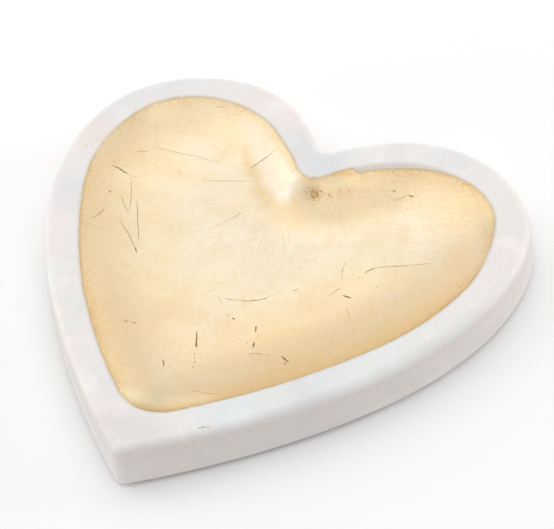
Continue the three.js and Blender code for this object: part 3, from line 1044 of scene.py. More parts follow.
def leaf_creases(tree, place, fans):
    """Strength of the leaf's creases: short wrinkles all over, where it folded as it was pressed
    down, and hairlines that fan out from a centre to one side, bending as they go."""
    folds = add(tree, "ShaderNodeTexNoise",
                {"Vector": place, "Scale": 1 / WRINKLE_SIZE, "Detail": 3, "Distortion": 0.8})
    creases = middle_lines(tree, folds, 0.02, WRINKLE_STRENGTH)
    for centre, aim, reach, spokes, bend, amount, seed in fans:
        from_centre = add(tree, "ShaderNodeVectorMath", {0: place, 1: centre}, operation="SUBTRACT")
        parts = add(tree, "ShaderNodeSeparateXYZ", {0: from_centre})
        angle = add(tree, "ShaderNodeMath", {0: parts.outputs["X"], 1: parts.outputs["Y"]},
                    operation="ARCTAN2")
        length = add(tree, "ShaderNodeVectorMath", {0: from_centre}, operation="LENGTH").outputs["Value"]
        bent = add(tree, "ShaderNodeMath", {0: length, 1: bend / reach, 2: angle},
                   operation="MULTIPLY_ADD")
        turn = add(tree, "ShaderNodeMath", {0: bent, 1: spokes / math.tau}, operation="MULTIPLY")
        out = add(tree, "ShaderNodeMath", {0: length, 1: 1 / FAN_LINE_LENGTH}, operation="MULTIPLY")
        polar = add(tree, "ShaderNodeCombineXYZ", {0: turn, 1: out, 2: seed})
        lines = add(tree, "ShaderNodeTexNoise",
                    {"Vector": polar, "Scale": 1.0, "Detail": 3, "Distortion": 0.3})
        fade = add(tree, "ShaderNodeMapRange", {
            "Value": length, "From Min": reach * 0.25, "From Max": reach, "To Min": 1.0, "To Max": 0.0,
        }, interpolation_type="SMOOTHSTEP")
        way = add(tree, "ShaderNodeVectorMath", {0: from_centre}, operation="NORMALIZE")
        facing = add(tree, "ShaderNodeVectorMath", {0: way, 1: aim}, operation="DOT_PRODUCT")
        sector = add(tree, "ShaderNodeMapRange",
                     {"Value": facing.outputs["Value"], "From Min": 0.45, "From Max": 0.9},
                     interpolation_type="SMOOTHSTEP")
        clear = add(tree, "ShaderNodeMapRange",
                    {"Value": length, "From Min": reach * 0.06, "From Max": reach * 0.3},
                    interpolation_type="SMOOTHSTEP")
        line = middle_lines(tree, lines, 0.035, 1.0)
        for share in (fade, sector, clear, amount):
            line = add(tree, "ShaderNodeMath", {0: line, 1: share}, operation="MULTIPLY")
        creases = add(tree, "ShaderNodeMath", {0: creases, 1: line}, operation="MAXIMUM")
    return creases


def burnishing_strokes(tree, place, strokes):
    """Strength of the strokes that burnishing left, each patch of them running one way."""
    brushed = 0.0
    for centre, way, reach, width, amount, seed in strokes:
        turned = add(tree, "ShaderNodeMapping", {
            0: place, "Location": centre, "Rotation": (0, 0, math.atan2(way.y, way.x)),
            "Scale": (STROKE_LENGTH, width, STROKE_LENGTH),
        }, vector_type="TEXTURE")
        streaks = add(tree, "ShaderNodeTexNoise",
                      {"Vector": turned, "W": seed, "Scale": 1.0, "Detail": 1, "Distortion": 0.2},
                      noise_dimensions="4D")
        shown = add(tree, "ShaderNodeMapRange", {"Value": streaks, "From Min": 0.48, "From Max": 0.72})
        gap = add(tree, "ShaderNodeVectorMath", {0: place, 1: centre}, operation="DISTANCE")
        fade = add(tree, "ShaderNodeMapRange", {
            "Value": gap, "From Min": reach * 0.4, "From Max": reach, "To Min": 1.0, "To Max": 0.0,
        }, interpolation_type="SMOOTHSTEP")
        for share in (fade, amount):
            shown = add(tree, "ShaderNodeMath", {0: shown, 1: share}, operation="MULTIPLY")
        brushed = add(tree, "ShaderNodeMath", {0: brushed, 1: shown}, operation="MAXIMUM")
    return brushed


def rubbed_places(tree, place, rubs):
    """How far the leaf is rubbed down, strongest in the middle of each rubbed place."""
    rubbed = 0.0
    for centre, radius, amount in rubs:
        gap = add(tree, "ShaderNodeVectorMath", {0: place, 1: centre}, operation="DISTANCE")
        fade = add(tree, "ShaderNodeMapRange", {
            "Value": gap, "From Min": 0.0, "From Max": radius, "To Min": amount, "To Max": 0.0,
        }, interpolation_type="SMOOTHSTEP")
        rubbed = add(tree, "ShaderNodeMath", {0: rubbed, 1: fade}, operation="MAXIMUM")
    return rubbed


def laid_gold_leaf(fans, strokes, tones, rubs):
    """Gold-coloured metal leaf laid over size and lightly burnished: a satin metal, paled in the middle
    by painted highlight, deeper with painted shade and grainy towards the torn edge, with stretches of
    painted highlight and painted shade, creases darkened with painted shade, fine burnishing strokes,
    and places rubbed down until brown size shows between the grains of leaf."""
    material, tree, shader, place = new_material("laid_gold_leaf")
    edge = add(tree, "ShaderNodeAttribute", attribute_name="edge_inset").outputs["Fac"]
    tarnish = add(tree, "ShaderNodeAttribute", attribute_name="tarnish").outputs["Fac"]
    clouds = add(tree, "ShaderNodeTexNoise",
                 {"Vector": place, "Scale": 1 / LEAF_CLOUD_SIZE, "Detail": 4, "Distortion": 0.5})
    grain = add(tree, "ShaderNodeTexNoise",
                {"Vector": place, "Scale": 1 / LEAF_GRAIN_SIZE, "Detail": 3, "Distortion": 0.8})

    # The band along the torn edge carries painted shade, deepest where its shade amount is highest
    band = beaded_band(tree, place, edge)
    edge_shade_share = add(tree, "ShaderNodeMath", {0: band, 1: tarnish}, operation="MULTIPLY")
    # Thin grey line at the leaf's end, partly painted shade
    line_share = add(tree, "ShaderNodeMapRange", {
        "Value": edge, "From Min": END_LINE_FULL, "From Max": END_LINE_END, "To Min": 0.85,
        "To Max": 0.0,
    }, interpolation_type="SMOOTHSTEP")
    colour = tinted(tree, leaf_ground(tree, edge, clouds, grain),
                    [(edge_shade_share, EDGE_BAND_SHADE_TINT), (line_share, END_LINE_AND_SHADE_TINT)])

    # Stretches of painted highlight and painted shade
    ragged = add(tree, "ShaderNodeTexNoise", {"Vector": place, "Scale": 1 / TONE_RAG_SIZE, "Detail": 5})
    colour = tinted_stretches(tree, place, ragged, TONE_SOFTNESS, colour, tones)

    creases = leaf_creases(tree, place, fans)
    brushed = burnishing_strokes(tree, place, strokes)
    rubbed = rubbed_places(tree, place, rubs)
    # Creases are darkened with painted shade
    crease_shade_share, brush_share, haze = (
        add(tree, "ShaderNodeMath", {0: marks, 1: share}, operation="MULTIPLY") for marks, share in (
            (creases, CREASE_SHADE_SHARE), (brushed, STROKE_SHARE), (rubbed, RUB_HAZE_SHARE)))
    speckle = add(tree, "ShaderNodeTexNoise",
                  {"Vector": place, "Scale": 1 / RUB_SPECKLE_SIZE, "Detail": 1})
    worn = add(tree, "ShaderNodeMath", {0: rubbed, 1: 0.3, 2: speckle}, operation="MULTIPLY_ADD")
    rub_share = add(tree, "ShaderNodeMapRange",
                    {"Value": worn, "From Min": 0.73, "From Max": 0.87, "To Max": 0.85})
    colour = tinted(tree, colour, [
        (crease_shade_share, CREASE_SHADE_TINT), (brush_share, STROKE_TINT), (haze, RUB_HAZE_TINT),
        (rub_share, RUBBED_SIZE_TINT),
    ])

    # Bared size is duller than leaf. The marks are pressed in: strokes, creases, then beads.
    satin = add(tree, "ShaderNodeMapRange",
                {"Value": clouds, "From Min": 0.3, "From Max": 0.7, "To Min": 0.38, "To Max": 0.46})
    gloss = add(tree, "ShaderNodeMath", {0: rub_share, 1: 0.3, 2: satin}, operation="MULTIPLY_ADD")
    relief = grain
    for marks, depth in ((brushed, -0.5), (creases, -0.8), (band, -2.0)):
        relief = add(tree, "ShaderNodeMath", {0: marks, 1: depth, 2: relief}, operation="MULTIPLY_ADD")
    bump = add(tree, "ShaderNodeBump", {"Height": relief, "Distance": LEAF_RELIEF, "Strength": 0.6})
    tree.links.new(colour.outputs[2], shader.inputs["Base Color"])
    tree.links.new(gloss.outputs[0], shader.inputs["Roughness"])
    tree.links.new(bump.outputs[0], shader.inputs["Normal"])
    shader.inputs["Metallic"].default_value = 1
    return material


CRUMB_TINTS = ("#D7AA6A", "#E9CC98")
CRUMB_GRAIN_SIZE = 0.8 * MM
SIZE_TINTS = ("#5A4526", "#8C7244")
SIZE_PALE_TINT = "#C09C62"
SIZE_GRAIN_SIZE = 0.5 * MM
FELT_TINTS = ("#BDB6A8", "#E6E1D6")
FELT_NAP_SIZE = 0.35 * MM
FELT_NAP_DEPTH = 0.15 * MM


def torn_leaf_crumbs():
    """Crumbs of the same metal leaf, crushed and stained by the size: a dull, deeper orange gold."""
    material, tree, shader, place = new_material("torn_leaf_crumbs")
    grain = add(tree, "ShaderNodeTexNoise", {"Vector": place, "Scale": 1 / CRUMB_GRAIN_SIZE, "Detail": 2})
    share = add(tree, "ShaderNodeMapRange", {"Value": grain, "From Min": 0.35, "From Max": 0.65})
    colour = tinted(tree, linear(CRUMB_TINTS[0]), [(share, CRUMB_TINTS[1])])
    tree.links.new(colour.outputs[2], shader.inputs["Base Color"])
    shader.inputs["Metallic"].default_value = 1
    shader.inputs["Roughness"].default_value = 0.5
    return material


def bared_umber_size():
    """Size under the leaf, bared where the leaf split: dull umber with a dusty grain, darkest where
    a crack is wide."""
    material, tree, shader, place = new_material("bared_umber_size")
    grain = add(tree, "ShaderNodeTexNoise", {"Vector": place, "Scale": 1 / SIZE_GRAIN_SIZE, "Detail": 2})
    tone = add(tree, "ShaderNodeAttribute", attribute_name="paleness").outputs["Fac"]
    colour = tinted(tree, linear(SIZE_TINTS[0]), [(grain, SIZE_TINTS[1]), (tone, SIZE_PALE_TINT)])
    tree.links.new(colour.outputs[2], shader.inputs["Base Color"])
    shader.inputs["Roughness"].default_value = 0.8
    return material


def pressed_wool_felt():
    """Off-white pressed wool felt: matt, with a soft nap and no weave."""
    material, tree, shader, place = new_material("pressed_wool_felt")
    nap = add(tree, "ShaderNodeTexNoise", {"Vector": place, "Scale": 1 / FELT_NAP_SIZE, "Detail": 5})
    colour = tinted(tree, linear(FELT_TINTS[0]), [(nap, FELT_TINTS[1])])
    bump = add(tree, "ShaderNodeBump", {"Height": nap, "Distance": FELT_NAP_DEPTH})
    tree.links.new(colour.outputs[2], shader.inputs["Base Color"])
    tree.links.new(bump.outputs[0], shader.inputs["Normal"])
    shader.inputs["Roughness"].default_value = 0.95
    shader.inputs["Sheen Weight"].default_value = 0.3
    return material


# Marble slab

BASE_SHARES = (0.2, 0.45, 0.7, 0.88)
LOWER_EDGE_STEPS = 6
SIDE_STEPS = 11
UPPER_EDGE_STEPS = 12
RIM_STEPS = 16
LIP_INSETS = np.array([0.15, 0.3, 0.45, 0.6, 0.75, 0.9, 1.2, 1.6, 2.2, 3.0]) * MM
BOWL_STEPS = 27
FAR = 100 * MM


def slab_ring(points, inward, hold=1.0, lower=1.0, side=1.0, upper=1.0, inset=0.0, rim_gap=FAR):
    """Ring of the blank: how far the rounded edges pull it in, how far it has gone round the lower
    edge, up the side and round the upper edge, and its distances in from and out to the hollow."""
    softness = 1 + SOFT_EDGE_SHARE * smooth_step(
        (points[:, 0] - SOFT_EDGE_FROM_X) / (SOFT_EDGE_TO_X - SOFT_EDGE_FROM_X))
    return make_ring(
        points, inward=np.c_[inward, np.zeros(len(points))], hold=hold, lower_turn=lower,
        side_share=side, upper_turn=upper, hollow_inset=inset, rim_gap=rim_gap, softness=softness,
    )


def slab_blank():
    """Flat blank of the slab, with what the carving rule needs stored on its points."""
    rings = []
    for share in BASE_SHARES:
        points = toward(slab, bowl_centre, 1 - share)
        rings.append(slab_ring(points, slab_inward, hold=share, lower=0.0, side=0.0, upper=0.0))
    for turn in np.linspace(0, 1, LOWER_EDGE_STEPS):
        rings.append(slab_ring(slab, slab_inward, lower=turn, side=0.0, upper=0.0))
    for share in np.linspace(0, 1, SIDE_STEPS)[1:]:
        rings.append(slab_ring(slab, slab_inward, side=share, upper=0.0))
    rim_width = np.linalg.norm(slab - hollow, axis=1)
    for turn in np.linspace(0, 1, UPPER_EDGE_STEPS)[1:]:
        rings.append(slab_ring(slab, slab_inward, upper=turn, rim_gap=rim_width))
    for share in np.linspace(0, 1, RIM_STEPS)[1:]:
        points = slab + (hollow - slab) * share
        gap = rim_width * (1 - share)
        rings.append(slab_ring(points, slab_inward, hold=1 - share, rim_gap=gap))
    carved = [hollow + hollow_inward * inset for inset in LIP_INSETS]
    inner_shares = np.linspace(0, 1, BOWL_STEPS)[1:-1]
    carved += [toward(carved[-1], bowl_centre, share) for share in inner_shares]
    for points in carved:
        inset = hollow_insets(points)
        rings.append(slab_ring(points, hollow_inward, hold=0.0, inset=inset, rim_gap=0.0))
    centre, still = bowl_centre[None], np.zeros((1, 2))
    base_pole = slab_ring(centre, still, hold=0.0, lower=0.0, side=0.0, upper=0.0)
    top_pole = slab_ring(centre, still, hold=0.0, inset=hollow_insets(centre), rim_gap=0.0)
    return ring_mesh("marble_slab", base_pole, rings, top_pole)


# Gold leaf

LIP_STRIP_PIXELS = ((353, 171), (470, 190))
LIP_STRIP_START = 3
LIP_STRIP_END = 55

# Stretches of the edge with deeper painted shade in its band and more crumbs, clockwise from a
# pixel to a pixel, and how much
EDGE_SHADE_AND_WEAR = 0.5
EDGE_SHADE_FADE = 24
EDGE_SHADE_PIXELS = (
    ((445, 176), (492, 214), 1.1),
    ((484, 282), (380, 340), 0.45),
    ((215, 398), (110, 385), 0.4),
    ((112, 372), (84, 262), 0.3),
)
LEAF_RINGS = np.array([0, 0.12, 0.3, 0.55, 0.9, 1.4, 2.0, 2.8]) * MM
LEAF_INNER_RINGS = 80
LEAF_UNDER_RINGS = 26
LEAF_SEED = 7


def column_at(pixel):
    """Column of the hollow's edge nearest to a pixel."""
    return int(np.linalg.norm(hollow - rim_spot(pixel), axis=1).argmin())


def stretch_share(first_pixel, last_pixel, start_fade, end_fade):
    """Share of each column that lies clockwise between two pixels' columns, fading at both ends."""
    places = np.arange(COLUMNS)
    started = smooth_step((places - column_at(first_pixel)) / start_fade)
    return started * smooth_step((column_at(last_pixel) - places) / end_fade)


def leaf_edge_insets():
    """How far the leaf stops from the hollow's edge, column by column: ragged all round, and further
    in along the back of the right lobe, where a strip of the lip is bare."""
    random = np.random.default_rng(LEAF_SEED)
    ragged = np.zeros(COLUMNS)
    for width in RAGGED_WIDTHS:
        soft = soften(random.normal(size=COLUMNS), width)
        ragged += soft / soft.std() * RAGGED_SHARE
    strip = stretch_share(*LIP_STRIP_PIXELS, LIP_STRIP_START, LIP_STRIP_END)
    torn = np.maximum(LEAF_EDGE_INSET + LEAF_EDGE_RAGGED * ragged, LEAF_EDGE_LEAST)
    return torn + BARE_LIP_WIDTH * strip


def leaf_sheet():
    """Flat sheet of leaf with two faces, with what the laying rule needs stored on its points."""
    tarnish = np.full(COLUMNS, EDGE_SHADE_AND_WEAR)
    for first_pixel, last_pixel, amount in EDGE_SHADE_PIXELS:
        tarnish += amount * stretch_share(first_pixel, last_pixel, EDGE_SHADE_FADE, EDGE_SHADE_FADE)
    insets = leaf_edge_insets()[:, None]
    over = []
    for step in LEAF_RINGS:
        points = hollow + hollow_inward * (insets + step)
        over.append(make_ring(points, hollow_inset=hollow_insets(points), face_up=1.0,
                              edge_inset=float(step), tarnish=tarnish))
    last = over[-1]["points"]
    to_centre = np.linalg.norm(last - bowl_centre, axis=1)
    for share in np.linspace(0, 1, LEAF_INNER_RINGS + 2)[1:-1]:
        points = toward(last, bowl_centre, share)
        over.append(make_ring(points, hollow_inset=hollow_insets(points), face_up=1.0,
                              edge_inset=LEAF_RINGS[-1] + to_centre * share, tarnish=tarnish))
    rim = over[0]["points"]
    under = []
    for share in np.linspace(1, 0, LEAF_UNDER_RINGS + 2)[1:]:
        points = toward(rim, bowl_centre, share)
        under.append(make_ring(points, hollow_inset=hollow_insets(points), face_up=0.0,
                               edge_inset=to_centre * share, tarnish=tarnish))
    centre = bowl_centre[None]
    poles = [make_ring(centre, hollow_inset=hollow_insets(centre), face_up=face_up, tarnish=EDGE_SHADE_AND_WEAR,
                       edge_inset=float(to_centre.mean())) for face_up in (0.0, 1.0)]
    return ring_mesh("gold_leaf", poles[0], [*under, *over], poles[1])


# Cracks in the leaf: half width in millimetres, how pale, and the photograph's pixels along each
CRACK_PIXELS = (
    (0.20, 0.0, ((112.5, 165), (115.6, 166.9), (118.1, 167.5), (120.6, 169.4), (124.4, 171.9),
                 (128.8, 174.4))),
    (0.07, 0.5, ((128.8, 174.4), (136.3, 176.9))),
    (0.06, 0.6, ((111.9, 161.3), (119.4, 163.6))),
    (0.06, 0.6, ((121.2, 164.4), (127.5, 166.3))),
    (0.10, 0.2, ((120.6, 195), (125, 206.3), (128.8, 213.8))),
    (0.09, 0.3, ((131.3, 176.3), (131.3, 195), (130, 207.5), (129, 213.8))),
    (0.12, 0.2, ((90, 217.3), (93.8, 216.9), (97.5, 215), (101.3, 211.9), (105.9, 206.6))),
    (0.11, 0.2, ((136.9, 200), (137.5, 212.5), (137.8, 225), (138.8, 232.5), (138.1, 241.9))),
    (0.10, 0.2, ((118.8, 218.1), (123.8, 226.3), (128.8, 234.4), (132.5, 242.5), (135.6, 248.8))),
    (0.19, 0.0, ((134.8, 246.8), (135.6, 248.8), (136.5, 252.5))),
    (0.07, 0.5, ((136.3, 151.3), (150, 151))),
    (0.06, 0.7, ((150, 145), (160, 148.1), (177.5, 152.5), (196.3, 156.3), (208.8, 160),
                 (221.3, 163.1))),
    (0.07, 0.6, ((201.3, 180.6), (240, 181), (252.5, 181.3))),
    (0.06, 0.7, ((207.5, 230), (220, 223.8), (233.8, 217.5))),
    (0.08, 0.4, ((233.8, 217.5), (241.3, 212.5))),
    (0.07, 0.6, ((178, 170), (180.5, 172.5), (182, 175))),
    (0.09, 0.4, ((215.8, 107.4), (226.6, 106.3))),
    (0.13, 0.0, ((249.4, 169.1), (256.3, 164.4), (265, 158.1), (273.1, 151.9))),
    (0.06, 0.5, ((273.1, 151.9), (276.3, 149.4))),
    (0.08, 0.4, ((224.4, 298.5), (231.3, 299.4), (241.3, 300.6))),
    (0.14, 0.0, ((240, 300.5), (248.8, 301), (253.8, 300.6), (258.8, 300), (265, 298.5),
                 (270, 296.5))),
    (0.16, 0.1, ((227.3, 314.6), (229.6, 316.4))),
    (0.18, 0.0, ((231.8, 317.6), (235, 319.6))),
    (0.24, 0.0, ((256, 326.4), (255.9, 329), (255.6, 331.6))),
    (0.22, 0.0, ((254.2, 342), (253.6, 345), (253, 347.8))),
    (0.11, 0.1, ((248.1, 355), (251.3, 353.1), (257.5, 353.5), (263.1, 354.8))),
    (0.06, 0.5, ((263.1, 354.8), (270, 355.3))),
    (0.22, 0.0, ((281.6, 356), (285, 359.4), (288.8, 362.5))),
    (0.14, 0.1, ((283.8, 361.9), (285.6, 365))),
    (0.20, 0.0, ((196.5, 331.3), (196.9, 337.5), (196.3, 341.9), (196.3, 345), (196.9, 347.3))),
    (0.30, 0.0, ((196.0, 342.4), (196.3, 345), (196.5, 347))),
    (0.12, 0.2, ((194.4, 352.6), (194.6, 355))),
    (0.12, 0.3, ((194.8, 356.9), (194.8, 358.8))),
    (0.12, 0.3, ((194.8, 361), (194.6, 362.9))),
    (0.12, 0.3, ((193.4, 366), (193.1, 368.5))),
    (0.19, 0.0, ((162, 359), (163.8, 362.5), (163.4, 366.4))),
    (0.16, 0.1, ((124, 320.4), (127.7, 322))),
    (0.15, 0.2, ((132.5, 322.8), (136.3, 322.5))),
    (0.08, 0.4, ((190, 389.4), (198.8, 391.9), (208.8, 393.8), (222.5, 394))),
    (0.06, 0.6, ((217.5, 296.9), (221.5, 302.5), (224.4, 307.5))),
    (0.17, 0.0, ((365, 272.9), (367.5, 271.3), (371.3, 269.4), (375.6, 268.1))),
    (0.10, 0.1, ((375.6, 268.1), (380, 267.3), (392.5, 266.5), (411.3, 265.3))),
    (0.07, 0.4, ((411.3, 265.3), (421.3, 264.4), (431.3, 263.1))),
    (0.24, 0.0, ((342, 295.3), (346.3, 296.5), (351, 298))),
    (0.08, 0.4, ((330, 295), (336.9, 290), (340.6, 288.8))),
    (0.14, 0.1, ((293.1, 291), (297.5, 289.4))),
    (0.07, 0.5, ((346.3, 261.3), (342.5, 270), (341.9, 280))),
    (0.06, 0.5, ((352, 274), (355, 275.9))),
    (0.06, 0.5, ((357, 277), (360, 279))),
    (0.06, 0.6, ((345, 306.3), (347.8, 312.2), (350, 317.5))),
    (0.19, 0.0, ((392.7, 190.6), (396, 191.2))),
    (0.18, 0.0, ((408, 195.3), (414.6, 197))),
    (0.07, 0.4, ((408, 195), (400, 198.4), (393, 201))),
)

# Small holes in the leaf: radius in millimetres, how pale, and the photograph's pixel
HOLE_PIXELS = (
    (0.28, 0.1, (109.8, 191.5)), (0.16, 0.4, (180, 223.4)), (0.13, 0.5, (183.1, 197.5)),
    (0.13, 0.5, (257.5, 207.3)), (0.22, 0.1, (210, 291)), (0.15, 0.3, (273.1, 294.6)),
    (0.2, 0.1, (255.6, 334)), (0.2, 0.2, (247.3, 343.1)), (0.18, 0.3, (238.5, 338.4)),
    (0.18, 0.2, (246.9, 365.6)), (0.18, 0.3, (376.9, 287.3)), (0.18, 0.5, (410.6, 253.4)),
    (0.2, 0.2, (459.4, 286.5)), (0.15, 0.3, (431.3, 312.5)), (0.14, 0.4, (376.3, 337.5)),
    (0.13, 0.4, (152.5, 295.6)), (0.13, 0.4, (342.6, 289.5)),
)
CRACK_STEP_PX = 0.7
CRACK_LEAST_STEPS = 4
CRACK_LIFT = 0.01 * MM

# A crack is full in its middle: how full, how soon it narrows, and how narrow it gets at its ends
CRACK_FULLNESS = 1.15
CRACK_NARROWING = 0.6
CRACK_END_SHARE = 0.08


def crack_lines(surface):
    """Mesh of lines that lie on the leaf along the cracks and across the holes. Each point keeps its
    half width, full in the middle of a line and running out at its ends, and how pale it is."""
    routes = [(width, pale, np.array(pixels)) for width, pale, pixels in CRACK_PIXELS]
    for radius, pale, (across, down) in HOLE_PIXELS:
        half = radius * MM * FOCAL_PX / CAMERA_DISTANCE
        routes.append((radius, pale, np.array([(across - half, down), (across + half, down)])))
    points, edges, widths, tones = [], [], [], []
    for half_width, pale, route in routes:
        run = np.r_[0, np.cumsum(np.linalg.norm(np.diff(route, axis=0), axis=1))]
        count = max(int(run[-1] / CRACK_STEP_PX), CRACK_LEAST_STEPS) + 1
        steps = np.linspace(0, run[-1], count)
        line = np.c_[np.interp(steps, run, route[:, 0]), np.interp(steps, run, route[:, 1])]
        shares = (np.arange(count) + 0.5) / count
        bulge = CRACK_FULLNESS * np.sin(math.pi * shares) ** CRACK_NARROWING
        narrowing = np.clip(bulge, CRACK_END_SHARE, 1)
        first = len(points)
        for pixel, share in zip(line, narrowing):
            spot, normal, _, _ = surface.ray_cast(*sight_line(pixel))
            points.append(spot + normal * CRACK_LIFT)
            widths.append(half_width * MM * share)
            tones.append(pale)
        edges += [(place, place + 1) for place in range(first, len(points) - 1)]
    mesh = bpy.data.meshes.new("leaf_cracks")
    mesh.from_pydata(points, edges, [])
    for key, values in (("half_width", widths), ("paleness", tones)):
        mesh.attributes.new(key, "FLOAT", "POINT").data.foreach_set("value", values)
    return mesh


# Felt pads

PAD_SIDES = 96
PAD_SOFT_EDGE = 0.3 * MM
PAD_EDGE_STEPS = 5
PAD_FACE_SHARES = (0.25, 0.5, 0.75)
PAD_SIDE_SHARES = (0.4, 0.55, 0.7, 0.85, 1.0)


def pad_disc(node):
    """Closed round pad with a softened lower edge, where a node's box is."""
    low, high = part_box(node)
    middle = (low + high) / 2
    radius = (high.x - low.x) / 2
    rows = [(radius * share, low.z) for share in PAD_FACE_SHARES]
    for turn in np.linspace(0, QUARTER_TURN, PAD_EDGE_STEPS):
        reach = radius - PAD_SOFT_EDGE * (1 - math.sin(turn))
        rows.append((reach, low.z + PAD_SOFT_EDGE * (1 - math.cos(turn))))
    rows += [(radius, low.z + (high.z - low.z) * share) for share in PAD_SIDE_SHARES]
    rows += [(radius * share, high.z) for share in reversed(PAD_FACE_SHARES)]
    turns = np.linspace(0, math.tau, PAD_SIDES, endpoint=False)
    vertices = [(middle.x, middle.y, low.z)]
    for reach, height in rows:
        vertices += [(middle.x + reach * math.cos(turn), middle.y + reach * math.sin(turn), height)
                     for turn in turns]
    vertices.append((middle.x, middle.y, high.z))
    places = np.arange(PAD_SIDES)
    nexts = (places + 1) % PAD_SIDES
    faces = [(0, 1 + after, 1 + here) for here, after in zip(places, nexts)]
    for row in range(len(rows) - 1):
        near, far = 1 + row * PAD_SIDES, 1 + (row + 1) * PAD_SIDES
        faces += np.c_[near + places, near + nexts, far + nexts, far + places].tolist()
    last = 1 + (len(rows) - 1) * PAD_SIDES
    faces += [(last + here, last + after, len(vertices) - 1) for here, after in zip(places, nexts)]
    mesh = bpy.data.meshes.new(f"felt_{node}")
    mesh.from_pydata(vertices, [], faces)
    return mesh


# Making of the scene

make_camera()
make_floor()
make_light()

stone_surface = BVHTree.FromObject(
    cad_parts["marble_body"], bpy.context.evaluated_depsgraph_get())


def on_stone(pixel):
    """Where a pixel's ray meets the solid slab."""
    return stone_surface.ray_cast(*sight_line(pixel))[0]


# Soft patches in the stone: two pixels that each runs between, radius in millimetres, tint and
# strength
PATCH_PIXELS = (
    ((88, 132), (90, 130), 13, "#E8D6CD", 0.6),
    ((48, 215), (50, 245), 12, "#EEE2E2", 0.6),
    ((215, 415), (240, 410), 20, "#DFE6E7", 0.6),
    ((355, 374), (375, 370), 18, "#E3E8E4", 0.5),
    ((478, 292), (484, 286), 13, "#EFE6E4", 0.5),
    ((205, 81), (225, 82), 18, "#E6E6E2", 0.5),
    ((300, 140), (318, 165), 10, "#DBDCDB", 0.85),
    ((318, 165), (335, 160), 9, "#D7DADD", 0.7),
    ((112, 424), (150, 436), 8, "#DAD2CC", 0.6),
    ((392, 391), (500, 322), 3.0, "#CFC8C4", 0.5),
)

# Stains on the stone, in the same way
STAIN_PIXELS = (
    ((85.5, 146), (86.5, 146), 0.9, "#E9BFA8", 0.7),
    ((60.5, 173), (61.5, 173), 1.4, "#EED3C2", 0.5),
    ((487, 315.5), (487, 316.5), 0.5, "#8F8983", 0.7),
    ((204, 427.3), (209, 427), 0.6, "#DDBB9C", 0.6),
    # The dark grey stretch over the nick is painted shade in the nick
    ((199, 428), (203, 426.8), 0.42, "#5F5B57", 0.95),
)
NICK_PIXEL = (201, 427.4)

# Fans of creases: centre's pixel, a pixel that they aim at, reach in millimetres, spokes in a whole
# turn, bend in radians, strength and seed
FAN_PIXELS = (
    ((268, 190), (238, 262), 52, 300, -0.4, 0.9, 0.5),
    ((212, 282), (165, 345), 44, 300, 0.25, 0.7, 4.5),
    ((262, 196), (180, 186), 46, 260, 0.2, 0.35, 8.5),
    ((289, 164), (262, 138), 16, 200, 0.0, 0.5, 2.5),
    ((287, 184), (250, 186), 26, 280, 0.15, 0.75, 3.5),
    ((325, 184), (345, 205), 22, 300, 0.1, 0.8, 6.5),
)

# Burnishing strokes: two pixels that they run between, reach and spacing in millimetres, strength
# and seed
STROKE_PIXELS = (
    ((385, 196), (475, 204), 34, 0.45, 1.0, 1.0),
    ((110, 142), (190, 164), 26, 0.9, 0.45, 2.0),
    ((120, 300), (165, 285), 20, 0.6, 0.5, 3.0),
    ((105, 230), (150, 226), 20, 0.7, 0.4, 4.0),
)

# Stretches of painted highlight and painted shade on the leaf, laid out as the stains are
LEAF_LIGHT_AND_SHADE_PIXELS = (
    ((150, 335), (280, 362), 24, "#EACE9E", 0.65),
    ((285, 338), (405, 302), 17, "#EBCE9B", 0.7),
    ((325, 292), (365, 280), 9, "#E8D0A1", 0.6),
    ((142, 170), (150, 285), 12, "#EBD5AA", 0.55),
    ((238, 232), (262, 252), 8, "#EFE8D8", 0.5),
    ((474, 228), (480, 262), 5.0, "#F6E8CC", 0.7),
    ((480, 200), (490, 222), 5.0, "#E0CFA9", 0.6),
    ((134, 397), (200, 400), 5.0, "#FFF3D2", 0.9),
    ((96, 148), (122, 126), 4.5, "#F2E4C8", 0.6),
    ((150, 112), (218, 108), 4.5, "#F0E1C5", 0.6),
    ((254, 132), (272, 172), 6.0, "#ECE5D8", 0.75),
    ((276, 178), (284, 192), 4.0, "#ECE5D8", 0.7),
    ((264, 204), (294, 209), 3.2, "#D8C095", 0.7),
    ((294, 178), (284, 194), 2.4, "#F8F2E8", 0.85),
    ((280, 158), (288, 176), 2.6, "#DCD0C0", 0.5),
    ((297, 180), (303, 190), 2.2, "#F2E8D2", 0.6),
    ((238, 152), (242, 198), 5.0, "#E8D5AC", 0.5),
    ((245, 148), (247, 154), 1.6, "#DCBE8A", 0.6),
    ((247, 162), (252, 170), 2.2, "#D8B880", 0.65),
    ((254, 174), (258, 186), 2.0, "#DABB86", 0.65),
    ((252, 190), (256, 195), 1.8, "#DEC290", 0.5),
    ((262, 192), (268, 200), 2.2, "#DABB84", 0.7),
    ((268, 215), (300, 221), 2.2, "#E0C799", 0.6),
    ((305, 224), (385, 212), 5.0, "#E2C998", 0.55),
    ((452, 186), (476, 212), 5.0, "#E3D1A9", 0.5),
    ((188, 293), (214, 286), 6.0, "#E9D6AD", 0.45),
    ((303, 181), (338, 180), 2.2, "#E0D2B2", 0.6),
    ((333, 174), (351, 174), 0.8, "#D9A765", 0.6),
    ((138, 160), (205, 176), 3.5, "#E6CF9F", 0.5),
)

# Rubbed places: pixel, radius in millimetres and strength
RUB_PIXELS = (
    ((315.6, 194.5), 4.2, 1.0),
    ((305, 194), 2.6, 0.5),
    ((329, 194.5), 3.2, 0.65),
    ((339, 193.5), 2.6, 0.5),
    ((349, 192), 2.2, 0.4),
    ((117.5, 167.8), 1.4, 0.5),
    ((110, 190.5), 1.6, 0.3),
)
